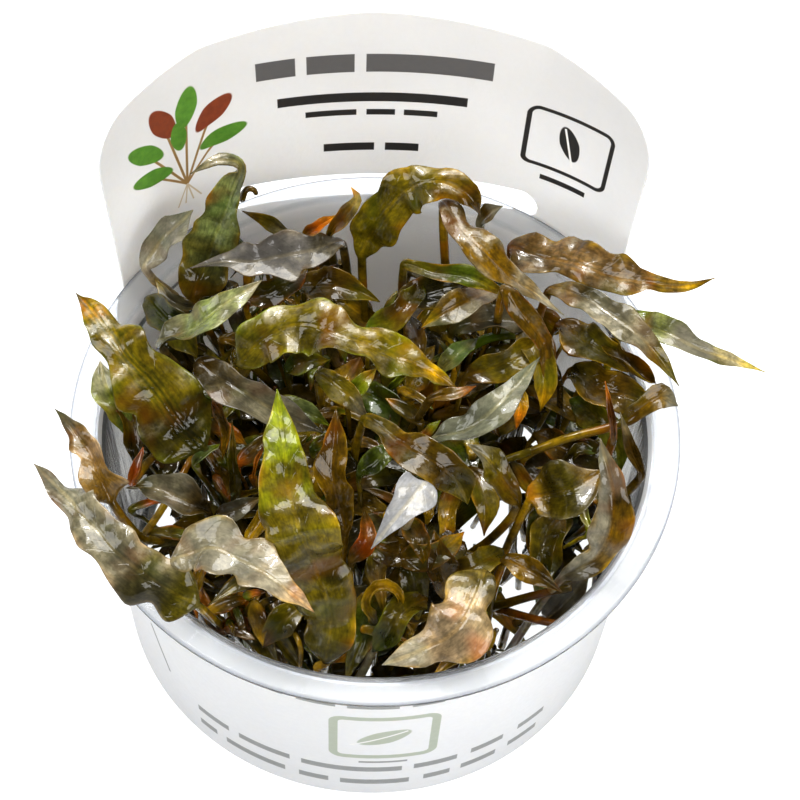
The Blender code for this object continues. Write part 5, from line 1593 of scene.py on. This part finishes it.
def card_paint():
    """Satin card with generic print: plain bars, framed leaf signs and a small sprig, and painted
    shade that darkens the panel towards its top.
    """
    paint = Paint("printed_card")
    place = paint.place()
    x, y, z = paint.split(place)
    height = paint.math("MULTIPLY", z, 1000.0)
    bearing = paint.math("ARCTAN2", x, y)
    across = paint.math("MULTIPLY", bearing, FLANGE_RADIUS)
    front_bearing = paint.math("ARCTAN2", x, paint.math("MULTIPLY", y, -1.0))
    front = paint.math("MULTIPLY", front_bearing, WALL_TOP_RADIUS)
    reach = paint.math("MULTIPLY", paint.reach(x, y), 1000.0)
    fibres = paint.noise(place, 900.0, 2.0, 0.6)
    clouds = paint.noise(place, 30.0, 2.0)
    bare = paint.mix(paint.between(clouds, 0.3, 0.7), (0.700, 0.707, 0.717), (0.733, 0.740, 0.750))
    bare = paint.mix(paint.between(fibres, 0.3, 0.7, 0.0, 0.12), bare, (0.67, 0.675, 0.68))
    # Painted shade: the card darkens towards the top of the panel
    bare = paint.mix(paint.between(height, 60.0, 88.0, 0.0, 0.2), bare, (0.10, 0.10, 0.10))
    colour = paint.mix(panel_inside(paint, y, height, bearing, reach), bare,
                       print_panel(paint, bare, across, height, fibres))
    colour = paint.mix(front_outside(paint, y, height, reach), colour,
                       print_front(paint, colour, front, height))
    paint.link(colour, "Base Color")
    paint.link(paint.between(fibres, 0.3, 0.7, 0.42, 0.55), "Roughness")
    paint.link(paint.bump(paint.math("MULTIPLY_ADD", clouds, 6.0, fibres), 0.15, 0.0003), "Normal")
    paint.set(IOR=1.45, Coat_Weight=0.25, Coat_Roughness=0.3, Subsurface_Weight=0.5,
              Subsurface_Scale=0.001, Subsurface_Radius=(1.3, 1.1, 0.85))
    return paint.material


# Stage, lights and camera

# Soft lights: place in m, width and depth in m, and power
SOFTBOXES = {
    "back_softbox": ((-0.06, 0.50, 0.86), 1.00, 0.70, 14.0),
    "sparkle_softbox": ((-0.30, 0.42, 0.80), 0.09, 0.09, 1.3),
    "left_softbox": ((-0.85, -0.10, 0.45), 0.40, 0.6, 3.0),
    "right_softbox": ((0.75, -0.60, 0.55), 0.60, 0.6, 4.5),
    "front_softbox": ((0.05, -0.95, 0.80), 1.2, 0.6, 7.0),
}
PLANT_MIDDLE = Vector((0, 0, 0.055))
GLOW_PLACE = (0.028, 0.016, 0.060)
GLOW_TARGET = Vector((0.028, 0.05, 0.060))
EXPOSURE = 0.23
GAMMA = 0.86
CLEAR_BOUNCES = 7
SOFT_BOUNCES = 2


def build_floor():
    """A pale light table, which looks white and glows through the clear gel."""
    shape = bmesh.new()
    bmesh.ops.create_grid(shape, x_segments=1, y_segments=1, size=4.0)
    mesh = bpy.data.meshes.new("floor")
    shape.to_mesh(mesh)
    shape.free()
    floor = bpy.data.objects.new("floor", mesh)
    bpy.context.scene.collection.objects.link(floor)
    paint = Paint("pale_table")
    grain = paint.noise(paint.place(), 40.0, 3.0)
    paint.link(paint.mix(grain, (0.29, 0.29, 0.29), (0.33, 0.33, 0.33)), "Base Color")
    paint.set(Roughness=0.6, Emission_Color=(1, 1, 1, 1))
    rays = paint.tree.nodes.new("ShaderNodeLightPath").outputs
    deep = paint.math("MULTIPLY", rays["Transmission Depth"], 0.215)
    through = paint.math("MULTIPLY_ADD", rays["Is Transmission Ray"],
                         paint.math("MINIMUM", deep, 1.1), 0.06)
    seen = paint.math("MULTIPLY", rays["Is Camera Ray"], 0.75)
    paint.link(paint.math("MAXIMUM", through, seen), "Emission Strength")
    paint.material.cycles.emission_sampling = "NONE"
    mesh.materials.append(paint.material)


def build_world():
    """White surroundings: full behind the plant, soft as a light and faint in reflections."""
    world = bpy.data.worlds.new("studio")
    world.use_nodes = True
    tree = world.node_tree
    background = tree.nodes["Background"]
    background.inputs["Color"].default_value = (1, 1, 1, 1)
    rays = tree.nodes.new("ShaderNodeLightPath").outputs
    soft = tree.nodes.new("ShaderNodeMath")
    soft.operation = "MULTIPLY_ADD"
    soft.inputs[1].default_value = 0.58
    soft.inputs[2].default_value = 0.05
    tree.links.new(rays["Is Diffuse Ray"], soft.inputs[0])
    strength = soft.outputs[0]
    for ray in ("Is Transmission Ray", "Is Camera Ray"):
        larger = tree.nodes.new("ShaderNodeMath")
        larger.operation = "MAXIMUM"
        tree.links.new(rays[ray], larger.inputs[0])
        tree.links.new(strength, larger.inputs[1])
        strength = larger.outputs[0]
    tree.links.new(strength, background.inputs["Strength"])
    bpy.context.scene.world = world


def build_stage():
    """A pale light table, large soft boxes and the camera at the photograph's angle."""
    build_floor()
    build_world()
    scene = bpy.context.scene
    scene.view_settings.view_transform = "Standard"
    scene.view_settings.gamma = GAMMA
    scene.view_settings.exposure = EXPOSURE
    scene.cycles.max_bounces = CLEAR_BOUNCES
    scene.cycles.transmission_bounces = CLEAR_BOUNCES
    scene.cycles.diffuse_bounces = SOFT_BOUNCES
    scene.cycles.glossy_bounces = SOFT_BOUNCES
    for name, row in SOFTBOXES.items():
        light = add_softbox(name, *row)
        light.visible_glossy = name != "front_softbox"

    back, right, up, eye = view_axes()
    lens = bpy.data.cameras.new("camera")
    lens.lens = 135.0
    lens.sensor_width = 36.0
    camera = bpy.data.objects.new("camera", lens)
    turn = Matrix((right, up, back)).transposed()
    camera.matrix_world = Matrix.Translation(eye * MM) @ turn.to_4x4()
    scene.collection.objects.link(camera)
    scene.camera = camera


def add_softbox(name, place, width, depth, power, target=PLANT_MIDDLE):
    """A rectangular soft light that faces the plant."""
    data = bpy.data.lights.new(name, "AREA")
    data.shape = "RECTANGLE"
    data.size = width
    data.size_y = depth
    data.energy = power
    light = bpy.data.objects.new(name, data)
    turn = (target - Vector(place)).to_track_quat("-Z", "Y").to_matrix().to_4x4()
    light.matrix_world = Matrix.Translation(place) @ turn
    bpy.context.scene.collection.objects.link(light)
    return light


def light_card(sleeve):
    """Two soft lights that reach the card alone, for the glow that comes through thin card."""
    card = bpy.data.collections.new("card_alone")
    card.objects.link(sleeve)
    panel = add_softbox("panel_glow", GLOW_PLACE, 0.070, 0.012, 0.0038, GLOW_TARGET)
    data = bpy.data.lights.new("inside_glow", "POINT")
    data.energy = 0.026
    data.shadow_soft_size = 0.01
    inside = bpy.data.objects.new("inside_glow", data)
    inside.location = (0.010, 0, 0.040)
    bpy.context.scene.collection.objects.link(inside)
    for light in (panel, inside):
        light.visible_camera = False
        light.visible_glossy = False
        light.visible_transmission = False
        light.light_linking.receiver_collection = card
        light.light_linking.blocker_collection = card


def main():
    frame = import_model()
    leaf = leaf_paint()
    for name in LEAVES:
        build_leaf(name, leaf)
    build_understorey(leaf)
    build_seen_leaves(leaf)
    build_stalks(leaf)
    build_crowns(leaf)
    build_cup(cup_paint())
    build_gel(gel_paint())
    sleeve = build_sleeve(card_paint())
    build_stage()
    light_card(sleeve)


main()
